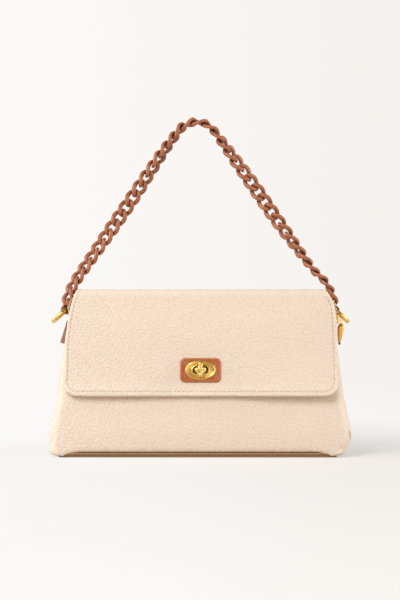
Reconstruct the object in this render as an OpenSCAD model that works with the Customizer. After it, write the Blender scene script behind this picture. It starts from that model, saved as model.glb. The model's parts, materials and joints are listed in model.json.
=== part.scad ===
// Chain shoulder bag: a flap bag of pebbled leather with a twist lock and a curb chain handle.
// +Z is up, the front of the bag faces -Y, and the origin is under the middle of the base.

/* [Bag body] */
// Width across the base
base_w = 270; // [230:1:320]
// How far each side is drawn in at the mouth
mouth_inset = 21.5; // [15:0.5:30]
// Height from the floor to the rim of the mouth
body_h = 141; // [120:1:170]
// Depth across the base
base_d = 80; // [64:1:110]
// Depth across the mouth
mouth_d = 40; // [36:1:60]
// Radius of the lower corners
corner_r = 11; // [7:0.5:16]
// Thickness of a leather panel
leather_t = 2.2; // [1.6:0.1:3]
// Thickness of the lining
lining_t = 1.2; // [0.8:0.1:1.6]
// Thickness of the stiff board in the base
board_t = 2.4; // [1.6:0.1:4]
// Height of the side panels' lower edge over the floor
panel_lift = 2; // [1:0.5:4]

/* [Flap] */
// How much further in the flap's sides are than the base's
flap_inset = 13; // [8:0.5:20]
// How much further in the flap's bend is than the mouth's ends
flap_bend_inset = 3.5; // [2:0.5:8]
// How much further in the flap's hinge is than the mouth's ends
flap_back_inset = 9.5; // [7:0.5:16]
// Height of the flap's lower edge over the floor
flap_low = 54; // [40:1:70]
// Height of the flap's top over the rim of the mouth
flap_rise = 8; // [6.5:0.5:11]
// Radius of the flap's lower corners
flap_corner_r = 13; // [6:1:22]
// Outer radius of the bend at the flap's front
flap_bend_r = 6; // [5:0.5:8]
// Depth of the sewn strip below the hinge
hinge_strip_h = 18; // [12:1:30]

/* [Lock] */
// Height of the middle of the lock over the flap's lower edge
lock_rise = 23; // [18:1:40]
// Width of the leather patch
patch_w = 36.5; // [34:0.5:46]
// Height of the leather patch
patch_h = 21.7; // [20:0.1:30]
// Thickness of the leather patch
patch_t = 2; // [1.4:0.1:3]
// Width of the oval plate
plate_w = 26.8; // [25:0.1:32]
// Height of the oval plate
plate_h = 17; // [16:0.1:20]
// Thickness of the oval plate
plate_t = 1.2; // [0.8:0.1:2]
// Width of the slot in the oval plate
slot_w = 15; // [13:0.1:17]
// Height of the slot in the oval plate
slot_h = 8.3; // [7:0.1:9]
// Length of the turning knob
knob_len = 13.4; // [12:0.1:16]
// Width of the knob's middle
knob_mid_w = 7.8; // [6:0.1:8]
// Width of the knob's lobes
knob_lobe_w = 4.6; // [3.6:0.1:6]
// Radius of the knob's spindle
spindle_r = 1.5; // [1.2:0.1:1.8]

/* [Rings and tabs] */
// Radius of a ring, to the middle of its wire
ring_r = 8.4; // [8.2:0.05:10]
// Radius of a ring's wire
ring_wire_r = 1.95; // [1.6:0.05:2]
// Distance of a ring's middle from the mouth's end
ring_out = 14.4; // [13:0.1:18]
// Depth of a ring's middle below the rim
ring_drop = 15.4; // [13:0.1:17]
// Slope of a ring, seen from the front
ring_slope = 41.8; // [38:0.1:46]
// Place of the swing axis, behind the middle
swing_y = 12; // [10:0.5:14]
// Depth of the swing axis below the rim
swing_drop = 22; // [21:0.5:23]
// Radius of a tab rivet's shank
rivet_r = 1.5; // [1:0.1:2]
// Width of a leather ring tab
tab_w = 9; // [7:0.5:11]
// Thickness of the two plies of a ring tab
tab_t = 3; // [2:0.1:3.4]

/* [Chain] */
// Height of the chain's path over the end links
chain_rise = 171; // [120:1:240]
// Distance of the end links from the mouth's ends
chain_out = 8.1; // [7.9:0.1:8.7]
// Depth of the end links below the rim
chain_drop = 8.2; // [7.8:0.1:8.6]
// Number of links
link_count = 41; // [35:1:43]
// Width of a link across the middle of its wire
link_w = 10; // [9.6:0.1:10.4]
// Thickness of a link's wire
link_wire_d = 2.8; // [2.4:0.1:2.9]
// Twist of a link from its middle to its end
link_twist = 45; // [40:1:50]

/* [Zip] */
// Distance between the two rows of teeth across the mouth
zip_open_w = 22; // [14:1:26]
// Width of the tape that hangs over the side
tail_w = 8; // [6:0.5:10]
// Distance of the hanging tape from the drawn-in side
tail_reach = 7.5; // [7:0.5:10]
// Distance of the zip's blind end from the drawn-in side
end_reach = 4.5; // [3.5:0.5:6]
// Depth of the hanging tape below the rim
tail_drop = 24; // [20:1:28]
// Distance between teeth
tooth_pitch = 3; // [2.4:0.1:4]
// Length of the pull
pull_len = 19; // [14:0.5:24]
// Length of the leather tab at the other end of the zip
end_tab_len = 22; // [16:1:28]

/* [Hidden] */

$fn = 64;
// Overrun of every cut
over = 1;
// Clearance of a pin that turns in a hole
fit = 0.05;
// Gap between pieces that move past each other
gap = 0.3;
// Gap between the flap and the front of the bag
flap_gap = 0.4;
// Sizes that follow the body, so that what is fixed to it keeps its place on it
mouth_w = base_w - 2 * mouth_inset;
flap_w = base_w - 2 * flap_inset;
flap_bend_w = mouth_w - 2 * flap_bend_inset;
flap_back_w = mouth_w - 2 * flap_back_inset;
flap_top = body_h + flap_rise;
lock_z = flap_low + lock_rise;
ring_x = mouth_w / 2 + ring_out;
ring_z = body_h - ring_drop;
swing_z = body_h - swing_drop;
chain_x = mouth_w / 2 + chain_out;
chain_z = body_h - chain_drop;
// Longest size in the model, for cuts that pass right through
reach = base_w + chain_rise + ring_x;

leather_colour = [0.93, 0.85, 0.74];
lining_colour = [0.80, 0.72, 0.60];
tan_colour = [0.62, 0.33, 0.19];
chain_colour = [0.60, 0.31, 0.20];
gold_colour = [0.83, 0.64, 0.25];
board_colour = [0.35, 0.30, 0.25];

// The front of the body leans back by this angle
lean_share = (base_d - mouth_d) / 2 / body_h;
lean = atan(lean_share);
function half_depth(z) = base_d / 2 - lean_share * z;

// Places along the side of the body: share of the way from mouth to base, share of the height
side_shares = [[1, 0.10], [0.98, 0.16], [0.69, 0.373], [0.424, 0.695], [0, 0.78], [0, 1]];
function side_x(share) = mouth_w / 2 + (base_w - mouth_w) / 2 * share;
function side_at(z) = lookup(z, [for (s = side_shares) [s[1] * body_h, side_x(s[0])]]);

// The right side of the body, seen from the front, drawn in by inset and cut off below low
function right_side(inset, low) = let (
    arc = [for (a = [-90:9:0]) [
        base_w / 2 - corner_r + (corner_r - inset) * cos(a),
        low + (corner_r - inset) * (1 + sin(a))
    ]],
    corner_top = low + corner_r - inset,
    side = [for (s = side_shares) [side_x(s[0]) - inset, max(corner_top, s[1] * body_h)]]
) concat(arc, side);

module silhouette(inset, low, high) {
    right = right_side(inset, low);
    last = len(right) - 1;
    intersection() {
        polygon(concat(
            right,
            [[right[last][0], body_h + over], [-right[last][0], body_h + over]],
            [for (i = [last:-1:0]) [-right[i][0], right[i][1]]]
        ));
        translate([-base_w, low]) square([2 * base_w, high - low]);
    }
}

// A shape drawn in X and Z, made deep along Y
module along_y(depth) {
    rotate([90, 0, 0]) linear_extrude(depth, center = true) children();
}

// A shape drawn in Y and Z, made wide along X
module along_x(width) {
    rotate([90, 0, 90]) linear_extrude(width, center = true) children();
}

// The room between the front and the back of the body, drawn in by inset
module wedge(inset) {
    along_x(reach) polygon([
        [-half_depth(0) + inset, 0], [half_depth(0) - inset, 0],
        [half_depth(body_h + over) - inset, body_h + over],
        [-half_depth(body_h + over) + inset, body_h + over]
    ]);
}

// The slanting front or back skin: side is -1 for the front and 1 for the back
module skin(side, outer, inner) {
    along_x(reach) polygon([
        [side * (half_depth(0) - outer), 0], [side * (half_depth(0) - inner), 0],
        [side * (half_depth(body_h) - inner), body_h], [side * (half_depth(body_h) - outer), body_h]
    ]);
}

module side_panel(side) {
    intersection() {
        along_y(reach) silhouette(0, panel_lift, body_h);
        skin(side, 0, leather_t);
    }
}

// Places things on the leaning front: -Y points out of the front, Z runs up along it
module on_front(z) {
    translate([0, -half_depth(z), z]) rotate([-lean, 0, 0]) children();
}

// An oval of straight sides and round ends that goes from y_out to y_in on the leaning front
module oval(width, height, y_out, y_in) {
    translate([0, (y_out + y_in) / 2, 0]) along_y(abs(y_in - y_out)) union() {
        square([width - height, height], center = true);
        for (s = [-1, 1]) translate([s * (width - height) / 2, 0]) circle(height / 2);
    }
}

module cylinder_y(radius, y_out, y_in) {
    translate([0, y_in, 0]) rotate([90, 0, 0]) cylinder(h = y_in - y_out, r = radius);
}

module cylinder_x(radius, x_from, x_to) {
    translate([x_from, 0, 0]) rotate([0, 90, 0]) cylinder(h = x_to - x_from, r = radius);
}

// Layers on the leaning front, counted outwards from the front panel's outer face
flap_in_y = -flap_gap;
flap_seam_y = flap_in_y - lining_t;
flap_out_y = flap_seam_y - leather_t;
patch_y = flap_out_y - patch_t;
plate_y = patch_y - plate_t;
boss_w = slot_w - 4 * gap;
boss_h = slot_h - 4 * gap;
boss_y = plate_y - gap / 2;
stem_r = 3;
backplate_w = 26;
backplate_h = 11;
backplate_t = 0.9;
lock_seat_y = leather_t + backplate_t;

module front_panel() {
    color(leather_colour) difference() {
        side_panel(-1);
        on_front(lock_z) cylinder_y(stem_r, -over, lock_seat_y);
    }
}

module back_panel() {
    color(leather_colour) side_panel(1);
}

// The base stands on the floor between the side panels
module base_panel() {
    color(leather_colour) intersection() {
        wedge(leather_t);
        translate([-base_w / 2 + corner_r, -base_d, 0])
            cube([base_w - 2 * corner_r, 2 * base_d, panel_lift + leather_t]);
    }
}

// A side of the body: the wall between the silhouette and its inset, from the base's end upwards
module gusset(side) {
    base_end = side * (base_w / 2 - corner_r);
    zone_in = side * mouth_w / 4;
    zone_out = side * base_w;
    color(leather_colour) difference() {
        intersection() {
            along_y(reach) intersection() {
                difference() {
                    silhouette(0, panel_lift, body_h);
                    silhouette(leather_t, panel_lift + leather_t, body_h + over);
                }
                polygon([
                    [base_end, 0], [zone_out, 0], [zone_out, 2 * body_h], [zone_in, 2 * body_h],
                    [zone_in, corner_r], [base_end, corner_r]
                ]);
            }
            wedge(leather_t);
        }
        rivet_hole(side);
    }
}

// The hole for the shank of a tab rivet, through a gusset and the lining behind it
module rivet_hole(side) {
    translate([0, swing_y, swing_z]) on_side(side)
        cylinder_x(rivet_r + fit, tab_in_x - 2 * (leather_t + lining_t), tab_in_x + over);
}

module gusset_left() { gusset(-1); }

module gusset_right() { gusset(1); }

board_z = panel_lift + leather_t;
lining_z = board_z + board_t;

module base_board() {
    color(board_colour) intersection() {
        wedge(leather_t);
        translate([-base_w / 2 + corner_r, -base_d, board_z])
            cube([base_w - 2 * corner_r, 2 * base_d, board_t]);
    }
}

module body_lining() {
    color(lining_colour) difference() {
        intersection() {
            along_y(reach) silhouette(leather_t, board_z, body_h);
            wedge(leather_t);
            translate([-base_w, -base_d, lining_z]) cube([2 * base_w, 2 * base_d, body_h]);
        }
        intersection() {
            along_y(reach) silhouette(leather_t + lining_t, board_z + lining_t, body_h + over);
            wedge(leather_t + lining_t);
            translate([-base_w, -base_d, lining_z + lining_t])
                cube([2 * base_w, 2 * base_d, body_h]);
        }
        on_front(lock_z) oval(
            backplate_w + gap, backplate_h + gap, leather_t / 2, leather_t + 2 * lining_t
        );
        rivet_hole(-1);
        rivet_hole(1);
    }
}

// A flat pocket sewn to the lining inside the back
pocket_w = 150;
pocket_low = 40;
pocket_high = 112;

module slip_pocket() {
    inset = leather_t + lining_t;
    color(lining_colour) intersection() {
        skin(1, inset, inset + lining_t);
        translate([-pocket_w / 2, 0, pocket_low])
            cube([pocket_w, base_d, pocket_high - pocket_low]);
    }
}

// The flap's hinge line is the middle of the roll along its back edge
roll_r = (leather_t + lining_t) / 2;
hinge_y = half_depth(body_h) + roll_r;
hinge_z = flap_top - roll_r;

module hinge_strip() {
    strip_top = hinge_z - roll_r - gap;
    color(leather_colour) along_x(flap_back_w) polygon([
        [half_depth(body_h - hinge_strip_h), body_h - hinge_strip_h],
        [half_depth(body_h - hinge_strip_h) + leather_t, body_h - hinge_strip_h],
        [half_depth(strip_top) + leather_t, strip_top], [half_depth(strip_top), strip_top]
    ]);
}

// The flap, seen from the side: depth counts inwards from its outer face
bend_z = flap_top - flap_bend_r;
bend_y = -half_depth(bend_z) + flap_out_y / cos(lean) + flap_bend_r / cos(lean);

bend_steps = 8;
function flap_face(depth, y_end) = concat(
    [[-half_depth(flap_low) + (flap_out_y + depth) / cos(lean), flap_low]],
    [for (i = [0:bend_steps]) let (a = 180 - lean - (90 - lean) * i / bend_steps)
        [bend_y + (flap_bend_r - depth) * cos(a), bend_z + (flap_bend_r - depth) * sin(a)]],
    [[y_end, flap_top - depth]]
);

module flap_layer(outer, inner, y_end) {
    face = flap_face(outer, y_end);
    back = flap_face(inner, y_end);
    polygon(concat(face, [for (i = [len(back) - 1:-1:0]) back[i]]));
}

// Places along the flap's side: share of the way from bend to full width, share of the way up
flap_side_shares = [[0.96, 0.50], [0.86, 0.71], [0.45, 0.92], [0, 0.985]];

module flap_outline() {
    side = [for (s = flap_side_shares) [
        flap_bend_w / 2 + (flap_w - flap_bend_w) / 2 * s[0],
        flap_low + (flap_top - flap_low) * s[1]
    ]];
    corner = [for (a = [-90:10:0]) [
        flap_w / 2 - flap_corner_r * (1 - cos(a)), flap_low + flap_corner_r * (1 + sin(a))
    ]];
    right = concat(corner, side, [[flap_bend_w / 2, flap_top + over]]);
    along_y(reach) polygon(concat(
        right, [for (i = [len(right) - 1:-1:0]) [-right[i][0], right[i][1]]]
    ));
}

module flap_plan() {
    front = base_d;
    linear_extrude(flap_top + over) polygon([
        [-flap_w, -front], [flap_w, -front], [flap_w, bend_y], [flap_bend_w / 2, bend_y],
        [flap_back_w / 2, 0], [flap_back_w / 2, front],
        [-flap_back_w / 2, front], [-flap_back_w / 2, 0], [-flap_bend_w / 2, bend_y],
        [-flap_w, bend_y]
    ]);
}

prong_r = 0.8;
prong_inset = 2.4;
prong_x = plate_w / 2 - prong_inset;
eyelet_back_inset_x = 0.5;
eyelet_back_inset_z = 1.5;
eyelet_back_w = plate_w - 2 * eyelet_back_inset_x;
eyelet_back_h = plate_h - 2 * eyelet_back_inset_z;
eyelet_back_t = 0.9;

module prongs(radius, y_out, y_in) {
    for (s = [-1, 1]) translate([s * prong_x, 0, 0]) cylinder_y(radius, y_out, y_in);
}

module flap_outer() {
    color(leather_colour) difference() {
        intersection() {
            union() {
                along_x(reach) flap_layer(0, leather_t, hinge_y);
                translate([0, hinge_y, hinge_z]) cylinder_x(roll_r, -flap_w, flap_w);
            }
            flap_outline();
            flap_plan();
        }
        on_front(lock_z) {
            oval(slot_w, slot_h, patch_y, flap_seam_y + over);
            prongs(prong_r + fit, patch_y, flap_seam_y + over);
        }
    }
}

module flap_lining() {
    color(lining_colour) difference() {
        intersection() {
            along_x(reach) flap_layer(leather_t, leather_t + lining_t, hinge_y - roll_r - gap / 3);
            flap_outline();
            flap_plan();
        }
        on_front(lock_z)
            oval(eyelet_back_w + gap, eyelet_back_h + gap, flap_out_y, flap_in_y + over);
    }
}

patch_corner_r = 4.5;

module lock_patch() {
    color(tan_colour) on_front(lock_z) difference() {
        translate([0, (patch_y + flap_out_y) / 2, 0]) along_y(patch_t) union() {
            square([patch_w - 2 * patch_corner_r, patch_h], center = true);
            square([patch_w, patch_h - 2 * patch_corner_r], center = true);
            for (sx = [-1, 1], sz = [-1, 1])
                translate([
                    sx * (patch_w / 2 - patch_corner_r), sz * (patch_h / 2 - patch_corner_r)
                ]) circle(patch_corner_r);
        }
        oval(slot_w, slot_h, patch_y - over, flap_out_y + over);
        prongs(prong_r + fit, patch_y - over, flap_out_y + over);
    }
}

module lock_eyelet() {
    rim_t = plate_t / 2;
    rim_w = 1.6;
    color(gold_colour) on_front(lock_z) {
        difference() {
            union() {
                oval(plate_w, plate_h, patch_y - rim_t, patch_y);
                oval(plate_w - rim_w, plate_h - rim_w, plate_y, patch_y);
            }
            oval(slot_w, slot_h, plate_y - over, patch_y + over);
        }
        prongs(prong_r, patch_y - rim_t, flap_seam_y);
    }
}

module lock_eyelet_back() {
    color(gold_colour) on_front(lock_z) difference() {
        oval(eyelet_back_w, eyelet_back_h, flap_seam_y, flap_seam_y + eyelet_back_t);
        oval(slot_w, slot_h, flap_out_y, over);
    }
}

head_r = 2.6;
head_t = 1.2;

module lock_base() {
    cavity_y = -head_t - 2 * gap;
    color(gold_colour) on_front(lock_z) difference() {
        union() {
            oval(boss_w, boss_h, boss_y, 0);
            cylinder_y(stem_r, 0, leather_t);
        }
        cylinder_y(spindle_r + fit, boss_y - over, 0);
        cylinder_y(head_r + gap, cavity_y, 0);
    }
}

module lock_backplate() {
    color(gold_colour) on_front(lock_z) oval(backplate_w, backplate_h, leather_t, lock_seat_y);
}

knob_t = 3.4;

module lock_knob() {
    bow_y = boss_y - gap;
    lobe_z = (knob_len - knob_lobe_w) / 2;
    color(gold_colour) on_front(lock_z) {
        cylinder_y(spindle_r, bow_y - knob_t / 2, -gap);
        cylinder_y(head_r, -gap - head_t, -gap);
        cylinder_y(knob_mid_w / 2, bow_y - knob_t, bow_y);
        translate([0, bow_y - knob_t / 2, 0]) along_y(knob_t)
            square([knob_lobe_w, 2 * lobe_z], center = true);
        for (s = [-1, 1]) translate([0, 0, s * lobe_z])
            cylinder_y(knob_lobe_w / 2, bow_y - knob_t, bow_y);
    }
}

// The rings hang on leather tabs, and each tab turns on a rivet through the gusset
tab_in_x = mouth_w / 2 + gap;
tab_out_x = tab_in_x + tab_t;
loop_angle = 30;
loop_w = 4;
loop_wall = 1.1;
loop_play = 0.65;
loop_hole_r = ring_wire_r + loop_play;
rivet_head_r = 3.2;
rivet_head_t = 1;

module tab_rivet(side) {
    color(gold_colour) translate([0, swing_y, swing_z]) on_side(side) {
        cylinder_x(rivet_r, mouth_w / 2 - leather_t - lining_t, tab_out_x + gap);
        cylinder_x(rivet_head_r, tab_out_x + gap, tab_out_x + gap + rivet_head_t);
        cylinder_x(
            rivet_head_r, mouth_w / 2 - leather_t - lining_t - rivet_head_t,
            mouth_w / 2 - leather_t - lining_t
        );
    }
}

// Things drawn for the right side, where side is 1, and turned half round to the left for -1
module on_side(side) {
    rotate([0, 0, side > 0 ? 0 : 180]) children();
}

module tab_rivet_left() { tab_rivet(-1); }

module tab_rivet_right() { tab_rivet(1); }

// The frame of a ring: X runs to the ring's outer low end, Y to its back, Z out of its plane
module on_ring() {
    translate([ring_x, 0, ring_z]) rotate([0, ring_slope, 0]) children();
}

module ring_tab(side) {
    lower = tab_w / 2;
    loop_turn = 180 + loop_angle;
    color(tan_colour) translate([0, swing_y, 0]) on_side(side) difference() {
        union() {
            translate([0, 0, swing_z]) {
                cylinder_x(lower, tab_in_x, tab_out_x);
                translate([tab_in_x, -lower, 0]) cube([tab_t, tab_w, lower]);
            }
            hull() {
                translate([tab_in_x, -lower, swing_z + lower - gap]) cube([tab_t, tab_w, gap]);
                on_ring() rotate([0, 0, loop_turn]) translate([ring_r + loop_hole_r, 0, 0])
                    cube([loop_wall, loop_w - gap, loop_wall], center = true);
                on_ring() rotate([0, 0, loop_turn]) translate([ring_r, 0, -loop_hole_r])
                    cube([loop_wall, loop_w - gap, loop_wall], center = true);
            }
            on_ring() rotate([0, 0, loop_turn]) translate([ring_r, 0, 0]) rotate([90, 0, 0])
                cylinder(h = loop_w, r = loop_hole_r + loop_wall, center = true);
        }
        on_ring() rotate([0, 0, loop_turn]) translate([ring_r, 0, 0]) rotate([90, 0, 0])
            cylinder(h = reach, r = loop_hole_r, center = true);
        translate([0, 0, swing_z]) cylinder_x(rivet_r + fit, tab_in_x - over, tab_out_x + over);
    }
}

module ring_tab_left() { ring_tab(-1); }

module ring_tab_right() { ring_tab(1); }

// A part of each ring is a gate that turns inwards on a pin, and a straight chord joins its ends
gate_start = 2;
gate_span = 66;
gate_chord = 2 * ring_r * sin(gate_span / 2);
gate_pin_r = 0.7;
tongue_t = 1.6;

module ring_torus() {
    rotate_extrude() translate([ring_r, 0]) circle(ring_wire_r);
}

// The frame of a gate: the origin is at its pin, and X runs along the chord to its free end
module on_gate() {
    rotate([0, 0, gate_start]) translate([ring_r, 0, 0])
        rotate([0, 0, 90 + gate_span / 2]) children();
}

module gate_zone(from, to) {
    on_gate() translate([from, -ring_r, -ring_r])
        cube([to - from, ring_r + 1.4 * ring_wire_r, 2 * ring_r]);
}

module gate_slab(thick) {
    on_gate() translate([-2 * ring_wire_r, -ring_r, -thick / 2])
        cube([4 * ring_wire_r, ring_r + 1.4 * ring_wire_r, thick]);
}

module ring_shape() {
    difference() {
        ring_torus();
        gate_zone(ring_wire_r + gap, gate_chord + gap);
        gate_slab(tongue_t + 2 * gap);
        on_gate() cylinder(h = 4 * ring_wire_r, r = gate_pin_r, center = true);
    }
}

module gate_shape() {
    difference() {
        union() {
            intersection() {
                ring_torus();
                gate_zone(ring_wire_r + 2 * gap, gate_chord);
            }
            intersection() {
                ring_torus();
                gate_slab(tongue_t);
                union() {
                    on_gate() cylinder(h = 2 * ring_wire_r, r = ring_wire_r - gap, center = true);
                    gate_zone(0, ring_wire_r + 3 * gap);
                }
            }
        }
        on_gate() cylinder(h = 4 * ring_wire_r, r = gate_pin_r + fit, center = true);
    }
}

module ring_pin_shape() {
    on_gate() cylinder(h = 2 * ring_wire_r, r = gate_pin_r, center = true);
}

module ring_side(side) {
    color(gold_colour) translate([0, swing_y, 0]) on_side(side) on_ring() children();
}

module ring_left() { ring_side(-1) ring_shape(); }

module ring_right() { ring_side(1) ring_shape(); }

module ring_gate_left() { ring_side(-1) gate_shape(); }

module ring_gate_right() { ring_side(1) gate_shape(); }

module ring_pin_left() { ring_side(-1) ring_pin_shape(); }

module ring_pin_right() { ring_side(1) ring_pin_shape(); }

// The chain's route, chosen by hand: share of chain_x, share of chain_rise
route_shares = [
    [-1, 0], [-0.984, 0.065], [-0.946, 0.125], [-0.897, 0.181], [-0.74, 0.342],
    [-0.53, 0.56], [-0.32, 0.79], [-0.216, 0.91], [-0.151, 0.956], [-0.068, 0.981],
    [0.02, 0.981], [0.104, 0.956], [0.169, 0.91], [0.39, 0.675], [0.6, 0.45],
    [0.82, 0.226], [0.893, 0.171], [0.95, 0.122], [0.988, 0.066], [1, 0]
];
// How far the end links lie before and behind the swing axis
chain_skew = 3.4;
route = [for (s = route_shares)
    [s[0] * chain_x, swing_y + s[0] * chain_skew, chain_z + s[1] * chain_rise]];

function blend(p0, p1, p2, p3, t) = (
    2 * p1 + t * (p2 - p0) + t * t * (2 * p0 - 5 * p1 + 4 * p2 - p3)
    + t * t * t * (3 * p1 - p0 - 3 * p2 + p3)
) / 2;

function at(list, i) = list[max(0, min(len(list) - 1, i))];

fine_steps = 10;
fine_route = concat(
    [for (i = [0:len(route) - 2], k = [0:fine_steps - 1]) blend(
        at(route, i - 1), route[i], route[i + 1], at(route, i + 2), k / fine_steps
    )],
    [route[len(route) - 1]]
);

// Length along the fine route at each of its points
function run_of(points) = [
    for (i = 0, s = 0; i < len(points);
        s = s + (i + 1 < len(points) ? norm(points[i + 1] - points[i]) : 0), i = i + 1) s
];
fine_run = run_of(fine_route);
route_len = fine_run[len(fine_run) - 1];
link_pitch = route_len / (link_count - 1);
link_len = (link_pitch + link_wire_d + 2 * gap);

function place_at(s) = let (
    last = len(fine_run) - 2,
    i = max([for (k = [0:last]) fine_run[k] <= s ? k : 0]),
    t = (s - fine_run[i]) / (fine_run[i + 1] - fine_run[i])
) fine_route[i] + t * (fine_route[i + 1] - fine_route[i]);

function unit(v) = v / norm(v);

// Roll of the links about the route, chosen by hand, where 0 shows a link's flat to the front: they
// stand edge on at the top of the route, turn flat halfway down each side and go on turning
roll_shares = [
    [0, 50], [0.06, 56], [0.13, 45], [0.185, 26], [0.24, 0], [0.29, -25], [0.35, -48], [0.42, -70],
    [0.49, -90], [0.55, -104], [0.6, -124], [0.65, -149], [0.7, -175], [0.76, -197], [0.83, -223],
    [0.89, -239], [0.95, -239], [1, -231]
];
function roll_at(share) = lookup(share, roll_shares);

link_steps = 20;
wire_sides = 6;

// The points of one link's surface, a ring of wire_sides points at each step round its wire
function link_points(i) = let (
    s = i * link_pitch,
    here = place_at(s),
    ahead = unit(place_at(min(route_len, s + link_pitch / 2))
        - place_at(max(0, s - link_pitch / 2))),
    normal = unit(cross(ahead, [0, 1, 0])),
    roll = roll_at(i / (link_count - 1)),
    wide = cos(roll) * normal + sin(roll) * cross(normal, ahead),
    thick = cross(ahead, wide),
    line = [for (k = [0:link_steps - 1]) let (
        t = 360 * k / link_steps,
        twist = -link_twist * cos(t)
    ) here + ahead * link_len / 2 * cos(t)
        + (wide * cos(twist) + thick * sin(twist)) * link_w / 2 * sin(t)]
) [for (k = [0:link_steps - 1], j = [0:wire_sides - 1]) let (
    along = unit(line[(k + 1) % link_steps] - line[(k + link_steps - 1) % link_steps]),
    out = unit(line[k] - here - along * ((line[k] - here) * along)),
    up = cross(along, out),
    a = 360 * (j + 0.5) / wire_sides
) line[k] + link_wire_d / 2 * (cos(a) * out + sin(a) * up)];

link_faces = [for (k = [0:link_steps - 1], j = [0:wire_sides - 1], half = [0, 1]) let (
    k2 = (k + 1) % link_steps,
    j2 = (j + 1) % wire_sides,
    p = k * wire_sides + j,
    q = k * wire_sides + j2,
    r = k2 * wire_sides + j,
    t = k2 * wire_sides + j2
) half == 0 ? [p, r, q] : [q, r, t]];

module links(from, to) {
    color(chain_colour) for (i = [from:to]) polyhedron(link_points(i), link_faces);
}

half_count = floor(link_count / 2);

module chain_left() { links(0, half_count - 1); }

module chain_right() { links(half_count, link_count - 1); }

// The zip: two tapes across the mouth that run together over the right side
tape_t = 0.8;
tape_sink = 4.5;
tape_z = body_h - tape_sink;
zip_y = -8;
row_gap = 0.9;
mouth_end_inset = 2;
mouth_end_x = mouth_w / 2 - leather_t - lining_t - mouth_end_inset;
rim_z = body_h + gap;
tail_x = mouth_w / 2 + tail_reach;
tail_shares = [[0.12, 0], [0.62, 0.1], [1, 0.32], [1, 1]];
function hanging(out) = concat(
    [[mouth_end_x - 2 * tape_t, tape_z], [mouth_end_x + tape_t, rim_z]],
    [for (s = tail_shares) [mouth_w / 2 + s[0] * out, rim_z - s[1] * tail_drop]]
);
tail_route = hanging(tail_reach);

// The outline of a band of the given thickness on the outer side of a line of points
function normal_at(points, i) = let (
    d = unit(at(points, i + 1) - at(points, i - 1))
) [-d[1], d[0]];
function band(points, from, to) = concat(
    [for (i = [0:len(points) - 1]) points[i] + from * normal_at(points, i)],
    [for (i = [len(points) - 1:-1:0]) points[i] + to * normal_at(points, i)]
);

// side is -1 for the front tape and 1 for the back one
module zip_tape(side) {
    row_y = zip_y + side * row_gap;
    edge_y = side * zip_open_w / 2;
    color(lining_colour) {
        intersection() {
            wedge(leather_t + lining_t);
            translate([0, 0, tape_z]) linear_extrude(tape_t) polygon([
                [-mouth_end_x, side * mouth_d], [mouth_end_x, side * mouth_d],
                [mouth_end_x, row_y], [mouth_end_x - zip_open_w / 2, edge_y],
                [zip_open_w / 2 - mouth_end_x, edge_y], [-mouth_end_x, row_y]
            ]);
        }
        for (turn = [0, 1]) mirror([turn, 0, 0])
            translate([0, row_y + side * tail_w / 4, 0]) along_y(tail_w / 2)
                polygon(band(turn == 0 ? tail_route : hanging(end_reach), 0, tape_t));
    }
}

module zip_tape_front() { zip_tape(-1); }

module zip_tape_back() { zip_tape(1); }

tooth_l = 1.5;
tooth_w = 2.2;
tooth_t = 1;

// A tooth on a tape whose underside passes through the given place
module tooth(x, y, z, tilt) {
    translate([x, y, z]) rotate([0, tilt, 0]) translate([-tooth_l / 2, -tooth_w / 2, tape_t])
        cube([tooth_l, tooth_w, tooth_t]);
}

module zip_teeth(side) {
    edge_y = side * (zip_open_w / 2 + tooth_w / 2);
    row_y = zip_y + side * (row_gap + tooth_w / 2);
    straight = 2 * mouth_end_x - zip_open_w;
    count = floor(straight / tooth_pitch);
    tail_points = [for (i = [2:len(tail_route) - 1]) tail_route[i]];
    tail_run = run_of(tail_points);
    color(gold_colour) {
        for (i = [0:count]) tooth((i - count / 2) * tooth_pitch, edge_y, tape_z, 0);
        for (k = [0:len(tail_points) - 2]) let (
            a = tail_points[k],
            b = tail_points[k + 1],
            room = norm(b - a),
            teeth = floor((room - tooth_l) / tooth_pitch),
            tilt = -atan2(b[1] - a[1], b[0] - a[0])
        ) for (i = [0:teeth]) let (
            p = a + unit(b - a) * (room / 2 + (i - teeth / 2) * tooth_pitch)
        ) tooth(p[0], row_y, p[1], tilt);
    }
}

module zip_teeth_front() { zip_teeth(-1); }

module zip_teeth_back() { zip_teeth(1); }

// The zip's blind end hangs over the left side in a leather tab, which leans out over the side
end_tab_w = 9;
end_tab_t = 1.6;
end_tab_turn = 11;
end_tab_play = 1.6;
end_tab_z = rim_z - 0.85 * tail_drop;

module zip_end_tab() {
    low_z = end_tab_z - end_tab_len + end_tab_t;
    high_x = mouth_w / 2 + end_reach + tape_t + end_tab_t / 2;
    half_x = end_tab_t / 2 + end_tab_w / 2 * sin(end_tab_turn);
    low_x = max(high_x, side_at(low_z - end_tab_t) + end_tab_play + half_x);
    color(tan_colour) translate([0, zip_y, 0]) hull() {
        translate([-high_x, 0, end_tab_z])
            cube([end_tab_t, end_tab_w, end_tab_t], center = true);
        translate([-low_x, 0, low_z]) rotate([0, 0, end_tab_turn])
            cube([end_tab_t, end_tab_w, end_tab_t], center = true);
    }
}

pull_w = 6;
pull_t = 4;
pull_eye_r = 1.7;

// The slider runs on the hanging end of the two tapes
slider_l = 8;
slider_wall = 1;
channel_t = tape_t + tooth_t + 2 * gap;
slider_out_x = tail_x + tape_t + tooth_t + gap + slider_wall;
slider_z = rim_z - tail_drop + gap;
bail_r = 0.8;
bail_reach = pull_eye_r + 2 * gap;
bail_x = slider_out_x + bail_reach;
bail_z = slider_z + 0.35 * slider_l;
ear_t = 1;
ear_gap = 3.2;

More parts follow.
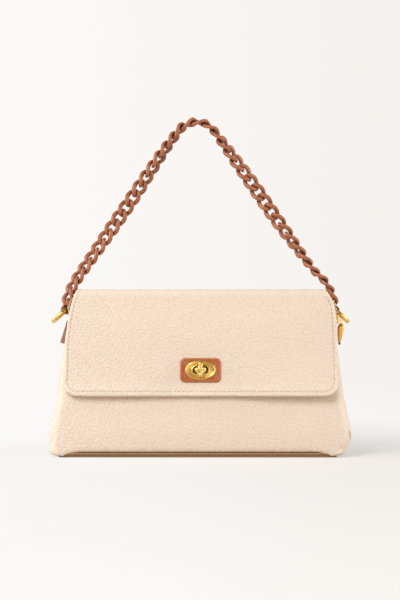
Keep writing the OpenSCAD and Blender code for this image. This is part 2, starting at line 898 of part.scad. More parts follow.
module zip_slider() {
    slider_w = tail_w + 2 * row_gap;
    color(gold_colour) {
        translate([slider_out_x - slider_wall, zip_y - slider_w / 2, slider_z])
            cube([slider_wall, slider_w, slider_l]);
        translate([tail_x - gap - slider_wall, zip_y - slider_w / 2, slider_z])
            cube([slider_wall, slider_w, slider_l]);
        translate([tail_x - gap - slider_wall / 2, zip_y - row_gap + gap, slider_z + slider_l / 2])
            cube([channel_t + slider_wall, 2 * (row_gap - gap), slider_l / 2]);
        for (s = [-1, 1]) translate([0, zip_y + s * (ear_gap + ear_t) / 2, bail_z]) {
            translate([slider_out_x - gap, -ear_t / 2, -2 * bail_r])
                cube([bail_x - slider_out_x + gap, ear_t, 4 * bail_r]);
            translate([bail_x, ear_t / 2, 0]) rotate([90, 0, 0])
                cylinder(h = ear_t, r = 2 * bail_r);
        }
        translate([bail_x, zip_y + ear_gap / 2 + ear_t / 2, bail_z]) rotate([90, 0, 0])
            cylinder(h = ear_gap + ear_t, r = bail_r);
    }
}

module zip_pull() {
    neck_w = ear_gap - 2 * gap;
    color(gold_colour) translate([bail_x, zip_y, bail_z]) difference() {
        union() {
            translate([0, neck_w / 2, 0]) rotate([90, 0, 0]) cylinder(h = neck_w, r = pull_eye_r);
            hull() {
                translate([0, 0, -pull_eye_r - gap]) cube([pull_eye_r, neck_w, gap], center = true);
                translate([0, 0, -0.28 * pull_len]) cube([pull_t, pull_w, gap], center = true);
                translate([0, 0, -pull_len]) cube([pull_eye_r, pull_eye_r, gap], center = true);
            }
            translate([0, 0, -pull_eye_r]) cube([pull_eye_r, neck_w, pull_eye_r], center = true);
        }
        translate([0, neck_w, 0]) rotate([90, 0, 0]) cylinder(h = 2 * neck_w, r = bail_r + fit);
    }
}

front_panel();
back_panel();
base_panel();
gusset_left();
gusset_right();
body_lining();
base_board();
slip_pocket();
hinge_strip();
zip_tape_front();
zip_tape_back();
zip_teeth_front();
zip_teeth_back();
zip_end_tab();
lock_base();
lock_backplate();
tab_rivet_left();
tab_rivet_right();
flap_outer();
flap_lining();
lock_patch();
lock_eyelet();
lock_eyelet_back();
lock_knob();
ring_tab_left();
ring_tab_right();
chain_left();
chain_right();
ring_left();
ring_right();
ring_gate_left();
ring_gate_right();
ring_pin_left();
ring_pin_right();
zip_slider();
zip_pull();
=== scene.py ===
import json
import math

import bmesh
import bpy
import numpy as np
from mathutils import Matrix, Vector


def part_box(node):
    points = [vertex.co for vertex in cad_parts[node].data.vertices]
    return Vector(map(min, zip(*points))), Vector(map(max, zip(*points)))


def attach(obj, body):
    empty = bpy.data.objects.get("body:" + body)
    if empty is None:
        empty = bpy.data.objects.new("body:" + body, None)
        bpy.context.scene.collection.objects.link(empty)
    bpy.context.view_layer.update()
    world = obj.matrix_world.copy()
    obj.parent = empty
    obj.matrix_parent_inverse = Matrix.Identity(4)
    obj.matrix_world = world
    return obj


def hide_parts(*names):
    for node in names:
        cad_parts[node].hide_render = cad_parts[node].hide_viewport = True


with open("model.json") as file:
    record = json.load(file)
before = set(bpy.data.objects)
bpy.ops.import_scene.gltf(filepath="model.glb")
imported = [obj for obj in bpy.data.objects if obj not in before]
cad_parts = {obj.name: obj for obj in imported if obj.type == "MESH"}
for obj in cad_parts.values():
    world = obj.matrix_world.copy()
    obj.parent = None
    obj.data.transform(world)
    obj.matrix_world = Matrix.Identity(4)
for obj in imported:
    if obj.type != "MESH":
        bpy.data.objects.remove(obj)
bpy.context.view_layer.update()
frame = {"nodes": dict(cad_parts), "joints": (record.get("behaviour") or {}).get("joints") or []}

MM = 0.001  # metres in a millimetre: the shapes below are worked out in millimetres


def box_mm(node):
    return [np.array(corner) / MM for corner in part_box(node)]


# Sizes from the frame

FRONT_LOW, FRONT_HIGH = box_mm("front_panel")
FLAP_LOW, FLAP_HIGH = box_mm("flap_outer")
PATCH_LOW, PATCH_HIGH = box_mm("lock_patch")
PLATE_LOW, PLATE_HIGH = box_mm("lock_eyelet")
STRIP_LOW, STRIP_HIGH = box_mm("hinge_strip")
JOINTS = {joint["name"]: joint for joint in frame["joints"]}
HINGE, SWING, BAIL = (
    np.array(JOINTS[name]["pos_m"]) / MM for name in ("flap_open", "chain_swing", "pull_swing")
)

# The knob's axis leans as the front does
LEAN = math.asin(JOINTS["knob_turn"]["axis"][2])
LEAN_SIN, LEAN_COS, LEAN_TAN = math.sin(LEAN), math.cos(LEAN), math.tan(LEAN)
UP_FRONT = np.array([0, LEAN_SIN, LEAN_COS])
OUT_FRONT = np.array([0, -LEAN_COS, LEAN_SIN])

# The bag's body, as the CAD model has it
BODY_H = FRONT_HIGH[2]
PANEL_LIFT = FRONT_LOW[2]
HALF_BASE_W = FRONT_HIGH[0]
HALF_BASE_D = -FRONT_LOW[1] + PANEL_LIFT * LEAN_TAN
CORNER_R = 4.5
LEATHER_T = 2.2
LINING_T = 1.2
HALF_MOUTH_W = 113.5
# Heights, each with half the body's width there
SIDE_PLACES = [
    [0, 135.0], [14, 135.0], [22.6, 134.5], [52.6, 128.3], [98, 122.6], [110, 113.5], [160, 113.5],
]

# The flap
FLAP_LOW_Z = FLAP_LOW[2]
FLAP_TOP = FLAP_HIGH[2]
FLAP_HALF_W = FLAP_HIGH[0]
FLAP_BEND_R = 6.0
FLAP_GAP = 0.4
FLAP_CORNER_R = 13.0
FLAP_HINGE_R = 10.0
FLAP_T = LEATHER_T + LINING_T
FLAP_HALF_T = FLAP_T / 2
FLAP_FACE = (FLAP_GAP + FLAP_T) / LEAN_COS  # how far the flap's outer face stands before the body
LOCK_Z = 77.0
# Runs up the flap from its lower edge, each with half its width there
FLAP_RIGHT_PLACES = [
    [0, 122.3], [47.5, 121.9], [67.5, 121.2], [78, 120.3], [84, 118.9], [88, 117.0], [92, 114.0], [96, 111.0],
    [104, 109.0], [151, 104.0],
]
FLAP_LEFT_PLACES = [
    [0, 121.7], [47.5, 120.6], [60, 119.3], [67.5, 118.4], [78, 116.4], [84, 115.0], [88, 113.8],
    [92.5, 111.8], [97, 110.0], [104, 107.0], [151, 104.0],
]


# Helpers for meshes

def add_object(name, data):
    thing = bpy.data.objects.new(name, data)
    bpy.context.scene.collection.objects.link(thing)
    return thing


def make_piece(name, parts, material, body, node=None, sharp=42.0):
    """A mesh object from solids, each points in millimetres and faces. It stands for the node, if any."""
    verts, faces = [], []
    for points, sides in parts:
        faces += [[len(verts) + i for i in side] for side in sides]
        verts += [tuple(point) for point in np.asarray(points, float) * MM]
    mesh = bpy.data.meshes.new(name)
    mesh.from_pydata(verts, [], faces)
    work = bmesh.new()
    work.from_mesh(mesh)
    bmesh.ops.remove_doubles(work, verts=work.verts, dist=0.01 * MM)
    bmesh.ops.dissolve_degenerate(work, edges=work.edges, dist=0.002 * MM)
    bmesh.ops.recalc_face_normals(work, faces=work.faces)
    work.to_mesh(mesh)
    work.free()
    shade(mesh, sharp)
    mesh.materials.append(material)
    piece = add_object(name, mesh)
    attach(piece, body)
    if node:
        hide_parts(node)
    return piece


def shade(mesh, sharp):
    mesh.shade_smooth()
    mesh.set_sharp_from_angle(angle=math.radians(sharp))


def skin(rings, caps=False, loop=False):
    """A solid from a row of rings. caps closes both ends, and loop joins the last ring to the first."""
    count = len(rings[0])
    verts = [point for ring in rings for point in ring]
    faces = []
    for k in range(len(rings) if loop else len(rings) - 1):
        a, b = k * count, (k + 1) % len(rings) * count
        faces += [[a + j, a + (j + 1) % count, b + (j + 1) % count, b + j] for j in range(count)]
    for end in (0, len(rings) - 1) if caps else ():
        faces += [[end * count + j, end * count + (j + 1) % count, len(verts)] for j in range(count)]
        verts.append(np.mean(np.asarray(rings[end]), axis=0))
    return verts, faces


def clamped(value):
    return np.clip(value, 0, 1)


def smooth_step(low, high, value):
    t = clamped((np.asarray(value, float) - low) / (high - low))
    return t * t * (3 - 2 * t)


def hump(value, middle, reach):
    """1 at the middle and next to 0 a few reaches from it."""
    return np.exp(-(((value - middle) / reach) ** 2))


def places(table, value):
    """A smooth reading of a table of places: each is where, then how much."""
    where, much = np.array(table, float).T
    spread = np.linspace(-3.0, 3.0, 7)
    return sum(np.interp(np.asarray(value, float) + step, where, much) for step in spread) / len(spread)


def ripple(x, z, seed):
    """A gentle unevenness between about -1 and 1, the same at each run."""
    phase = seed * 1.7
    return (
        np.sin(x / 31.0 + phase) * np.cos(z / 27.0 - phase)
        + 0.6 * np.sin(x / 17.0 - z / 23.0 + 2 * phase)
        + 0.4 * np.cos(x / 11.0 + z / 13.0 + 3 * phase)
    ) / 2.0


def unit(v):
    v = np.asarray(v, float)
    return v / np.linalg.norm(v, axis=-1, keepdims=True)


def points_at(x, y, z):
    """Points from coordinates, each a number or an array."""
    return np.stack(np.broadcast_arrays(x, y, z), axis=-1)


def round_angles(count):
    return np.linspace(0, 2 * math.pi, count + 1)[:-1]


def arc(centre, radius, first, last, count):
    """Points on an arc between two angles in degrees."""
    angles = np.radians(np.linspace(first, last, count))
    return centre + radius * np.stack([np.cos(angles), np.sin(angles)], axis=1)


def circle(centre, radius, count):
    return arc(centre, radius, 0, 360, count + 1)[:-1]


def squared(angles, across_power, up_power):
    """Cosines and sines drawn out towards the corners, the more so for a small power."""
    c, u = np.cos(angles), np.sin(angles)
    return np.sign(c) * np.abs(c) ** across_power, np.sign(u) * np.abs(u) ** up_power


def runs_of(points):
    """How far along the line through the points each of them lies."""
    return np.concatenate([[0], np.cumsum(np.linalg.norm(np.diff(points, axis=0), axis=1))])


def at_run(points, runs, wanted):
    """The place, or places, at a run along the line through the points."""
    return np.stack([np.interp(wanted, runs, column) for column in points.T], axis=-1)


def even_points(points, count):
    """The closed line through the points, as count points at equal steps."""
    closed = np.vstack([points, points[:1]])
    runs = runs_of(closed)
    return at_run(closed, runs, np.linspace(0, runs[-1], count + 1)[:-1])


def loop_ahead(points):
    """The direction of a closed line at each of its points."""
    return unit(np.roll(points, -1, axis=0) - np.roll(points, 1, axis=0))


def inward_normals(points):
    """Normals of a closed, anticlockwise outline, pointing to its inside."""
    ahead = loop_ahead(points)
    return np.stack([-ahead[:, 1], ahead[:, 0]], axis=1)


def rounded_outline(half_x, half_y, radius, count):
    """Points round a rectangle with round corners, evenly spaced, from the middle of its lower side."""
    x, y = half_x - radius, half_y - radius
    points = [[[0.0, -half_y]]]
    for centre, start in (((x, -y), -90), ((x, y), 0), ((-x, y), 90), ((-x, -y), 180)):
        points.append(arc(centre, radius, start, start + 90, 24))
    return even_points(np.concatenate(points), count)


def oval_outline(width, height, count):
    """An oval a little squarer than an ellipse, from the middle of its lower side."""
    power = 2 / 2.12
    c, u = squared(round_angles(720) - math.pi / 2, power, power)
    return even_points(np.stack([width / 2 * c, height / 2 * u], axis=1), count)


def plate_rings(half_x, half_y, radius, levels, count=160):
    """Rings of a flat plate with round corners: each level is a step in and a height."""
    return np.array([
        points_at(*rounded_outline(half_x - inset, half_y - inset, radius - inset, count).T, z)
        for inset, z in levels
    ])


def shell(outer, inner):
    """A closed solid between two grids of points of the same size."""
    outer, inner = np.array(outer), np.array(inner)
    rows, columns = outer.shape[:2]
    back = rows * columns
    index = np.arange(back).reshape(rows, columns)
    front = np.stack([index[:-1, :-1], index[:-1, 1:], index[1:, 1:], index[1:, :-1]], axis=-1).reshape(-1, 4)
    rim = np.concatenate([index[0], index[1:, -1], index[-1, -2::-1], index[-2:0:-1, 0]])
    ahead = np.roll(rim, -1)
    sides = np.stack([ahead, rim, back + rim, back + ahead], axis=1)
    faces = np.concatenate([front, back + front[:, ::-1], sides])
    return np.concatenate([outer.reshape(-1, 3), inner.reshape(-1, 3)]), faces.tolist()


# Materials

def opaque(colour):
    return colour if isinstance(colour, bpy.types.NodeSocket) else (*colour, 1)


class Nodes:
    """The emptied node tree of a material or the world, with its output."""

    def __init__(self, owner, output="OutputMaterial"):
        owner.use_nodes = True
        self.tree = owner.node_tree
        self.tree.nodes.clear()
        self.output = self.add(output)

    def put(self, node, key, value):
        """Links or sets an input of a node."""
        if isinstance(value, bpy.types.NodeSocket):
            self.tree.links.new(value, node.inputs[key])
        else:
            node.inputs[key].default_value = value

    def add(self, kind, inputs=None, **settings):
        node = self.tree.nodes.new("ShaderNode" + kind)
        for key, value in settings.items():
            setattr(node, key, value)
        for key, value in (inputs or {}).items():
            self.put(node, key, value)
        return node

    def sum(self, a, b, clamp=False):
        return self.add("Math", {0: a, 1: b}, operation="ADD", use_clamp=clamp).outputs[0]

    def product(self, a, b, clamp=False):
        return self.add("Math", {0: a, 1: b}, operation="MULTIPLY", use_clamp=clamp).outputs[0]

    def split(self, vector):
        return self.add("SeparateXYZ", {0: vector}).outputs

    def ramp(self, value, stops):
        """A ramp over positions and grey levels or colours."""
        node = self.add("ValToRGB", {0: value})
        elements = node.color_ramp.elements
        while len(elements) < len(stops):
            elements.new(0.5)
        for element, (position, level) in zip(elements, stops):
            element.position = position
            element.color = opaque((level,) * 3 if isinstance(level, float) else level)
        return node.outputs[0]

    def mix(self, share, first, second):
        """The first colour where the share is 0, and the second where it is 1."""
        return self.add("Mix", {0: share, 6: opaque(first), 7: opaque(second)}, data_type="RGBA").outputs[2]


class Surface(Nodes):
    """A material with one surface shader."""

    def __init__(self, name):
        self.material = bpy.data.materials.new(name)
        super().__init__(self.material)
        self.shader = self.add("BsdfPrincipled")
        self.put(self.output, 0, self.shader.outputs[0])
        self.point = self.add("TexCoord").outputs["Object"]

    def noise(self, scale, detail, output="Fac"):
        return self.add("TexNoise", {"Vector": self.point, "Scale": scale, "Detail": detail}).outputs[output]

    def cells(self, scale, feature="DISTANCE_TO_EDGE", dimensions="2D", **inputs):
        inputs = {"Vector": self.point, "Scale": scale, **inputs}
        node = self.add("TexVoronoi", inputs, voronoi_dimensions=dimensions, feature=feature)
        return node.outputs["Distance"]

    def finish(self, height, strength, depth_mm, **inputs):
        """Adds the bump and sets the shader's inputs, with _ for a blank in their names."""
        bump = self.add("Bump", {"Height": height, "Strength": strength, "Distance": depth_mm * MM})
        self.put(self.shader, "Normal", bump.outputs[0])
        for key, value in inputs.items():
            self.put(self.shader, key.replace("_", " "), value)
        return self.material


PEBBLE_TURN = (0.0, 0.0, math.radians(-28))
PEBBLE_SCALE = (1.4, 1.0, 1.0)  # pebbles are longer than wide
PEBBLE_MIX = 0.7  # 0 for even rows, 1 for no rows


def pebbled_leather(name, colour, dark, pebble_mm=2.45, depth_mm=0.3, roughness=0.46):
    """Leather with slanted rows of domed pebbles, creases and small beads, and painted shade in the creases.
    The grain is drawn over X and Z, shifts with Y, and is softer near the top and on faces that look
    sideways."""
    look = Surface(name)
    place = look.split(look.point)
    flat = look.add("CombineXYZ", {0: look.sum(place["X"], place["Y"]), 1: look.sum(place["Z"], place["Y"])})
    slanted = {"Vector": flat.outputs[0], "Rotation": PEBBLE_TURN, "Scale": PEBBLE_SCALE}
    point = look.point = look.add("Mapping", slanted, vector_type="TEXTURE").outputs[0]
    wobble = look.noise(240.0, 2.0, "Color")
    pores = look.noise(2600.0, 3.0)
    patches = look.noise(45.0, 2.0)
    for operation, inputs in (
        ("SUBTRACT", {1: (0.5, 0.5, 0.5)}), ("SCALE", {"Scale": 0.2 * pebble_mm * MM}), ("ADD", {1: point})
    ):
        wobble = look.add("VectorMath", {0: wobble, **inputs}, operation=operation).outputs[0]
    look.point = wobble
    scale = 1 / (pebble_mm * MM)
    large = look.cells(scale, "SMOOTH_F1", Smoothness=0.12, Randomness=PEBBLE_MIX)
    domes = look.ramp(large, [(0.0, 1.0), (0.25, 0.85), (0.46, 0.4), (0.7, 0.0)])
    lines = look.ramp(look.cells(scale, Randomness=PEBBLE_MIX), [(0.0, 0.0), (0.12, 1.0)])
    beads = look.ramp(look.cells(2.2 * scale), [(0.0, 0.0), (0.14, 0.8), (0.4, 1.0)])
    height = look.sum(look.sum(domes, look.product(lines, 0.16)), look.product(beads, 0.05))
    height = look.product(height, look.ramp(patches, [(0.3, 0.82), (0.7, 1.0)]))
    height = look.sum(height, look.product(pores, 0.03))
    facing = look.split(look.add("NewGeometry").outputs["True Normal"])["X"]
    sideways = look.add("Math", {0: facing}, operation="ABSOLUTE").outputs[0]
    side_level = look.ramp(sideways, [(0.25, 1.0), (0.65, 0.12)])
    top_level = look.ramp(place["Z"], [(0.1, 1.0), (0.14, 0.6)])
    valley = look.product(domes, lines)
    # painted shade: the colour darkens towards the dark one in the creases between pebbles
    painted_crease_shade = look.mix(look.ramp(valley, [(0.0, 0.55), (0.5, 1.0)]), dark, colour)
    return look.finish(
        height, look.product(side_level, top_level), depth_mm,
        Base_Color=look.mix(look.ramp(patches, [(0.35, 0.0), (0.75, 0.02)]), painted_crease_shade, dark),
        Roughness=look.ramp(valley, [(0.0, min(1.0, roughness + 0.2)), (0.6, roughness)]),
        Specular_IOR_Level=0.42, Sheen_Weight=0.04,
    )


def smooth_leather(name, colour, dark, roughness=0.36, grain_mm=0.7, shine=0.5, coat=0.0):
    """Finished leather with a fine grain, a little darker in patches."""
    look = Surface(name)
    grain = look.cells(1 / (grain_mm * MM), dimensions="3D")
    noise = look.noise(900.0, 4.0)
    return look.finish(
        look.sum(look.ramp(grain, [(0.0, 0.0), (0.2, 1.0)]), noise), 0.5, 0.05,
        Base_Color=look.mix(look.ramp(look.noise(160.0, 3.0), [(0.3, 0.0), (0.75, 0.6)]), colour, dark),
        Roughness=look.ramp(noise, [(0.3, roughness), (0.8, roughness + 0.14)]),
        Specular_IOR_Level=shine, Coat_Weight=coat, Coat_Roughness=0.12,
    )


def coated_metal(name, colour, dark, roughness=0.42):
    """Metal under a matte coat: a light orange peel, darker in patches, and with painted shade where other
    metal is close.
    """
    look = Surface(name)
    patches = look.noise(240.0, 2.0)
    worn = look.mix(look.ramp(patches, [(0.3, 0.0), (0.7, 0.5)]), colour, dark)
    # painted shade: the colour darkens where ambient occlusion finds other metal close, in the contacts
    # between links
    near = look.add("AmbientOcclusion", {"Distance": 6 * MM}, samples=16).outputs["AO"]
    painted_contact_shade = [0.5 * part for part in dark]
    return look.finish(
        look.noise(1400.0, 3.0), 0.35, 0.04,
        Base_Color=look.mix(look.ramp(near, [(0.3, 0.95), (0.85, 0.0)]), worn, painted_contact_shade),
        Roughness=look.ramp(patches, [(0.3, roughness), (0.7, roughness + 0.12)]),
    )


def gold_metal(name, colour, dark, roughness=0.3):
    """Plated gold: polished, with faint handling marks."""
    look = Surface(name)
    marks = look.noise(700.0, 5.0)
    return look.finish(
        marks, 0.06, 0.02, Metallic=1.0,
        Base_Color=look.mix(look.ramp(marks, [(0.35, 0.0), (0.75, 0.5)]), colour, dark),
        Roughness=look.ramp(marks, [(0.3, roughness), (0.8, roughness + 0.14)]),
    )


def woven_cloth(name, colour, dark, thread_mm=0.6, roughness=0.85):
    """A fine plain weave, with threads over and under each other."""
    look = Surface(name)
    place = look.split(look.point)
    waves = []
    for axis in ("X", "Z"):
        leaned = look.sum(place[axis], look.product(place["Y"], 0.7))
        turns = look.product(leaned, 2 * math.pi / (thread_mm * MM))
        waves.append(look.add("Math", {0: turns}, operation="SINE").outputs[0])
    weave = look.product(*waves)
    level = look.ramp(look.sum(look.product(weave, 0.5), 0.5), [(0.0, 0.0), (1.0, 1.0)])
    return look.finish(
        look.sum(weave, look.noise(1800.0, 3.0)), 0.5, 0.12,
        Base_Color=look.mix(level, dark, colour), Roughness=roughness, Sheen_Weight=0.25,
    )


LEATHER = pebbled_leather("pebbled_leather", (0.86, 0.732, 0.612), (0.74, 0.575, 0.44))
# The base uses a much darker copy of the bag's leather: painted shade of the recess under the walls.
SHADED_BASE_LEATHER = pebbled_leather(
    "base_leather_painted_shade", (0.50, 0.30, 0.17), (0.35, 0.19, 0.10), 1.8, 0.15, 0.55
)
TAN = smooth_leather(
    "tan_leather", (0.50, 0.137, 0.032), (0.38, 0.085, 0.018), 0.3, 0.9, shine=0.42, coat=0.5
)
TAB_TAN = smooth_leather("tab_leather", (0.33, 0.105, 0.045), (0.20, 0.06, 0.03), 0.4)
DARK_TAN = smooth_leather("dark_tan_leather", (0.16, 0.055, 0.025), (0.10, 0.03, 0.015), 0.4)
BOARD = smooth_leather("grey_board", (0.30, 0.24, 0.18), (0.22, 0.18, 0.13), 0.8)
CHAIN = coated_metal("chain_coat", (0.46, 0.154, 0.064), (0.25, 0.073, 0.03), 0.34)
GOLD = gold_metal("plated_gold", (0.84, 0.58, 0.20), (0.60, 0.375, 0.105), 0.24)
PULL_GOLD = gold_metal("pull_plated_gold", (0.80, 0.46, 0.14), (0.62, 0.33, 0.08), 0.36)
# A darker copy of the plated gold for the boss in the slot: painted shade.
SHADE_PAINTED_GOLD = gold_metal("painted_shade_gold", (0.44, 0.29, 0.10), (0.30, 0.19, 0.06), 0.4)
LINING = woven_cloth("lining_cloth", (0.70, 0.56, 0.42), (0.50, 0.38, 0.27))
TAPE = woven_cloth("zip_tape_cloth", (0.80, 0.66, 0.50), (0.60, 0.47, 0.34), 0.45)
# The thread is drawn a darker beige than the leather: partly its own colour, partly painted shade of its
# stitch holes.
THREAD = woven_cloth("sewing_thread", (0.72, 0.53, 0.38), (0.52, 0.36, 0.24), 0.25, 0.7)


# The body's outside

RIGHT_TUCK = 8.0  # how far the right side is drawn in above the floor
RIGHT_TUCK_TOP = 17.5  # the height at which that ends
LOW_ROLL = 2.6  # how far the front and back stand out a little above the floor
BELLY = 1.1  # how far they stand out in their middle
UNEVENNESS = 0.55
FOOT_TUCK = 1.5  # how far they are drawn in at the floor
LOW_BEND_R = 9.0  # the radius of the body's upright corners, below
MOUTH_BEND_R = 6.0  # the same at the mouth
SEAM_TURN = 1.92  # where a side seam lies, as a turn of body_point
HALF_PANEL_W = 124.0
# Small folds on the low corners: right or left, turn, height, reach round the corner, reach up, depth
CORNER_FOLDS = [
    (1, 1.6, 18.5, 0.045, 3.6, 5.0), (1, 1.22, 8.0, 0.2, 2.2, 0.9), (-1, 1.4, 15.0, 0.12, 3.0, 1.1),
]


def lean_depth(z):
    """Half the depth of the CAD body at a height."""
    return HALF_BASE_D - LEAN_TAN * np.asarray(z, float)


def half_width(z):
    low = np.clip(CORNER_R - (z - PANEL_LIFT), 0, CORNER_R)
    return places(SIDE_PLACES, z) - CORNER_R + np.sqrt(np.maximum(CORNER_R**2 - low**2, 0))


def lock_share(x, z):
    """1 away from the lock, and 0 at it, where the front stays flat."""
    return 1 - np.exp(-((x / 26.0) ** 4 + ((z - LOCK_Z) / 19.0) ** 4))


def front_bulge(x, z, seed=1.0):
    """How far the soft front stands out of the flat one."""
    across = 1 - clamped(np.abs(x) / half_width(np.maximum(z, 16.0))) ** 4
    low_roll = LOW_ROLL * hump(z, 22.0, 20.0) * across
    foot = (1 - smooth_step(PANEL_LIFT + 1.0, 11.0, z)) ** 1.6
    tuck = -FOOT_TUCK * foot * (1 - smooth_step(100.0, 122.0, np.abs(x)))
    belly = BELLY * across * np.sin(np.pi * clamped(z / 150.0)) + UNEVENNESS * ripple(x, z, seed) * across
    return (low_roll + belly * lock_share(x, z)) * (1 - smooth_step(118.0, 140.0, z)) + tuck


def corner_fold(turn, z, right):
    """How far the leather is folded in at a place near a low corner."""
    depth = 0.0 * turn
    for where, at_turn, at_z, wide, high, much in CORNER_FOLDS:
        if where == right:
            slanted = turn - at_turn + 0.03 * (z - at_z)
            depth = depth + much * np.exp(-((slanted / wide) ** 2) - ((z - at_z) / high) ** 2)
    return depth


def body_point(turn, z, right, front, inset):
    """A point of the body's outside. turn runs 0 to 1 over half the front or back, on to 2 round the corner,
    and to 3 at the middle of the side. right is 1 or -1 for the left, and front is -1 or 1 for the back."""
    inset = inset + corner_fold(turn, z, right)
    wide = half_width(z) - inset
    if right > 0:
        wide = wide - RIGHT_TUCK * (1 - np.clip(z / RIGHT_TUCK_TOP, 0.25, 1)) ** 1.1
    deep = lean_depth(z) - inset
    corner = LOW_BEND_R - (LOW_BEND_R - MOUTH_BEND_R) * smooth_step(60.0, 130.0, z)
    radius = np.minimum(corner - inset, 0.9 * wide)
    flat = wide - radius
    angle = clamped(turn - 1) * np.pi / 2
    x = np.where(turn <= 1, flat * turn, flat) + np.where(turn > 1, radius * np.sin(angle), 0)
    y = deep - np.where(turn > 1, radius * (1 - np.cos(angle)), 0)
    y = np.where(turn > 2, (deep - radius) * (1 - (turn - 2)), y)
    fade = np.where(turn <= 1, 1.0, np.cos(angle) ** 2)
    y = y + front_bulge(x, z, 1.0 if front < 0 else 2.0) * fade
    return points_at(right * x, front * y, z)


def panel_low(x):
    """The lower edge of a wall: it arches up a little between the corners."""
    return 1.3 + (PANEL_LIFT + 1.8) * (1 - clamped((np.abs(x) - 104.0) / 21.0) ** 1.6)


def spaced(low, high, count, tight):
    """Steps from low to high, closer together near both ends."""
    t = np.linspace(0, 1, count)
    return low + (high - low) * (t - tight * np.sin(2 * np.pi * t) / (2 * np.pi))


def wall_grid(turns, heights, right, front, fold):
    """The outside and the inside of half a wall, drawn in at its edges as sewn leather is."""
    turn, share = np.meshgrid(turns, heights)
    low = panel_low(np.minimum(turn, 1) * HALF_PANEL_W)
    z = low + share * (BODY_H - low)
    edge = clamped(np.abs(SEAM_TURN - turn) / 0.3)
    rim = np.minimum(share * 80, 1) * np.minimum((1 - share) * 60, 1)
    outer = body_point(turn, z, right, front, 0.9 * (1 - edge) ** 2 + 0.9 * (1 - rim) ** 2)
    inner = body_point(turn, z, right, front, LEATHER_T - 0.1)
    if fold:
        depth = fold * smooth_step(2.1, 3.0, turn) * np.sin(np.pi * clamped(z / 116.0)) ** 2
        depth = depth * (1 + 0.15 * ripple(outer[..., 1] * 3, z * 2, 4.0))
        outer[..., 0] -= right * depth
        inner[..., 0] -= right * depth
    return outer, inner


def make_wall(name, node, heights, first, second, fold=0.0):
    """A wall from seam to seam. Each half is its turns, right or left, and front or back."""
    halves = [wall_grid(turns, heights, right, front, fold) for turns, right, front in (first, second)]
    solid = shell(*(np.concatenate(pair, axis=1) for pair in zip(*halves)))
    make_piece(name, [solid], LEATHER, "bag", node)


def make_walls():
    """The front and the back wrap round both corners, and each gusset folds in down its middle."""
    half = np.concatenate([np.linspace(0, 1, 64)[:-1], np.linspace(1, SEAM_TURN, 30)])
    for side, front in (("front", -1), ("back", 1)):
        halves = (half[::-1], -1, front), (half[1:], 1, front)
        make_wall(side + "_leather", side + "_panel", spaced(0, 1, 86, 0.72), *halves)
    half = np.concatenate([np.linspace(SEAM_TURN, 2, 4)[:-1], np.linspace(2, 3, 22)])
    for side, right in (("left", -1), ("right", 1)):
        halves = (half, right, -1), (half[::-1][1:], right, 1)
        make_wall("gusset_leather_" + side, "gusset_" + side, spaced(0, 1, 80, 0.6), *halves, fold=2.6)


# The base's rolled edge: steps in, with their heights
BASE_LEVELS = [
    (3.9, 0.0), (3.5, 0.3), (3.3, 1.9), (1.5, 2.6), (0.4, 3.0), (0.0, 3.5), (0.2, 4.0), (1.0, 4.3),
    (2.6, 4.4),
]
BASE_IN_X, BASE_IN_Y = 7.9, 1.4  # how far the base stands in from the body's outside
BASE_SHIFT = [2.5, 0, 0]  # its right side stands in further
BASE_CORNER_R = 4.5
BOARD_IN = 3.0
BOARD_CORNER_R = 8.0
BOARD_BEVEL = 0.4


def make_base():
    """The base stands on the floor between the walls, and the stiff board lies on it."""
    half_x, half_y = HALF_BASE_W - BASE_IN_X, HALF_BASE_D - BASE_IN_Y
    rings = plate_rings(half_x, half_y, BASE_CORNER_R, BASE_LEVELS) - BASE_SHIFT
    # the base leather is drawn darker as painted shade
    make_piece("base_leather", [skin(rings, caps=True)], SHADED_BASE_LEATHER, "bag", "base_panel")
    low, high = box_mm("base_board")
    bevel = BOARD_BEVEL
    levels = [(bevel, low[2]), (0.0, low[2] + bevel), (0.0, high[2] - bevel), (bevel, high[2])]
    rings = plate_rings(high[0] - BOARD_IN, high[1] - BOARD_IN, BOARD_CORNER_R, levels)
    make_piece("stiff_board", [skin(rings, caps=True)], BOARD, "bag", "base_board")


def make_lining():
    """The lining is a cloth bag inside the leather, open at the mouth, with loose folds."""
    floor, cloth, gap = 8.2, 0.7, 1.3
    outside = []
    for z in np.concatenate([np.linspace(floor, 12, 4), np.linspace(16, BODY_H - LINING_T, 40)]):
        wide = half_width(max(z, 14)) - LEATHER_T - gap
        line = rounded_outline(wide, lean_depth(z) - LEATHER_T - gap, 8.0, 220)
        slack = 0.8 * np.sin(np.pi * clamped((z - floor) / (BODY_H - floor)))
        waves = 0.5 + 0.5 * ripple(2.2 * line[:, 0], 2.0 * z, 5.0 + np.sign(line[:, 1]))
        line = line + inward_normals(line) * (slack * waves)[:, None]
        outside.append(points_at(*line.T, z))
    inside = []
    for ring in outside[::-1]:
        line = ring[:, :2] + inward_normals(ring[:, :2]) * cloth
        inside.append(points_at(*line.T, np.maximum(ring[:, 2], floor + cloth)))
    solid = skin(outside + inside, caps=True)
    make_piece("lining_cloth_bag", [solid], LINING, "bag", "body_lining")


def make_pocket():
    """A flat pocket sewn to the lining at the back, with a turned upper edge."""
    low, high = box_mm("slip_pocket")
    foot, top, hem_z = low[2], high[2], high[2] - 5
    columns = np.linspace(low[0], high[0], 60)
    outer, inner = [], []
    for z in np.concatenate([[foot, foot + 1], np.linspace(foot + 3, hem_z, 26), [top - 3, top - 1, top]]):
        wall = lean_depth(z) - LEATHER_T - 2.4
        edge = np.minimum(np.minimum(columns - low[0], high[0] - columns), z - foot) / 5.0
        puff = 0.8 * clamped(edge) * (0.7 + 0.3 * ripple(columns * 2, z * 2, 7.0))
        hem = 0.35 if z > hem_z else 0.0
        outer.append(points_at(columns, wall - 0.5 - puff - hem, z))
        inner.append(points_at(columns, wall, z))
    make_piece("pocket_cloth", [shell(outer, inner)], LINING, "bag", "slip_pocket")


# The flap

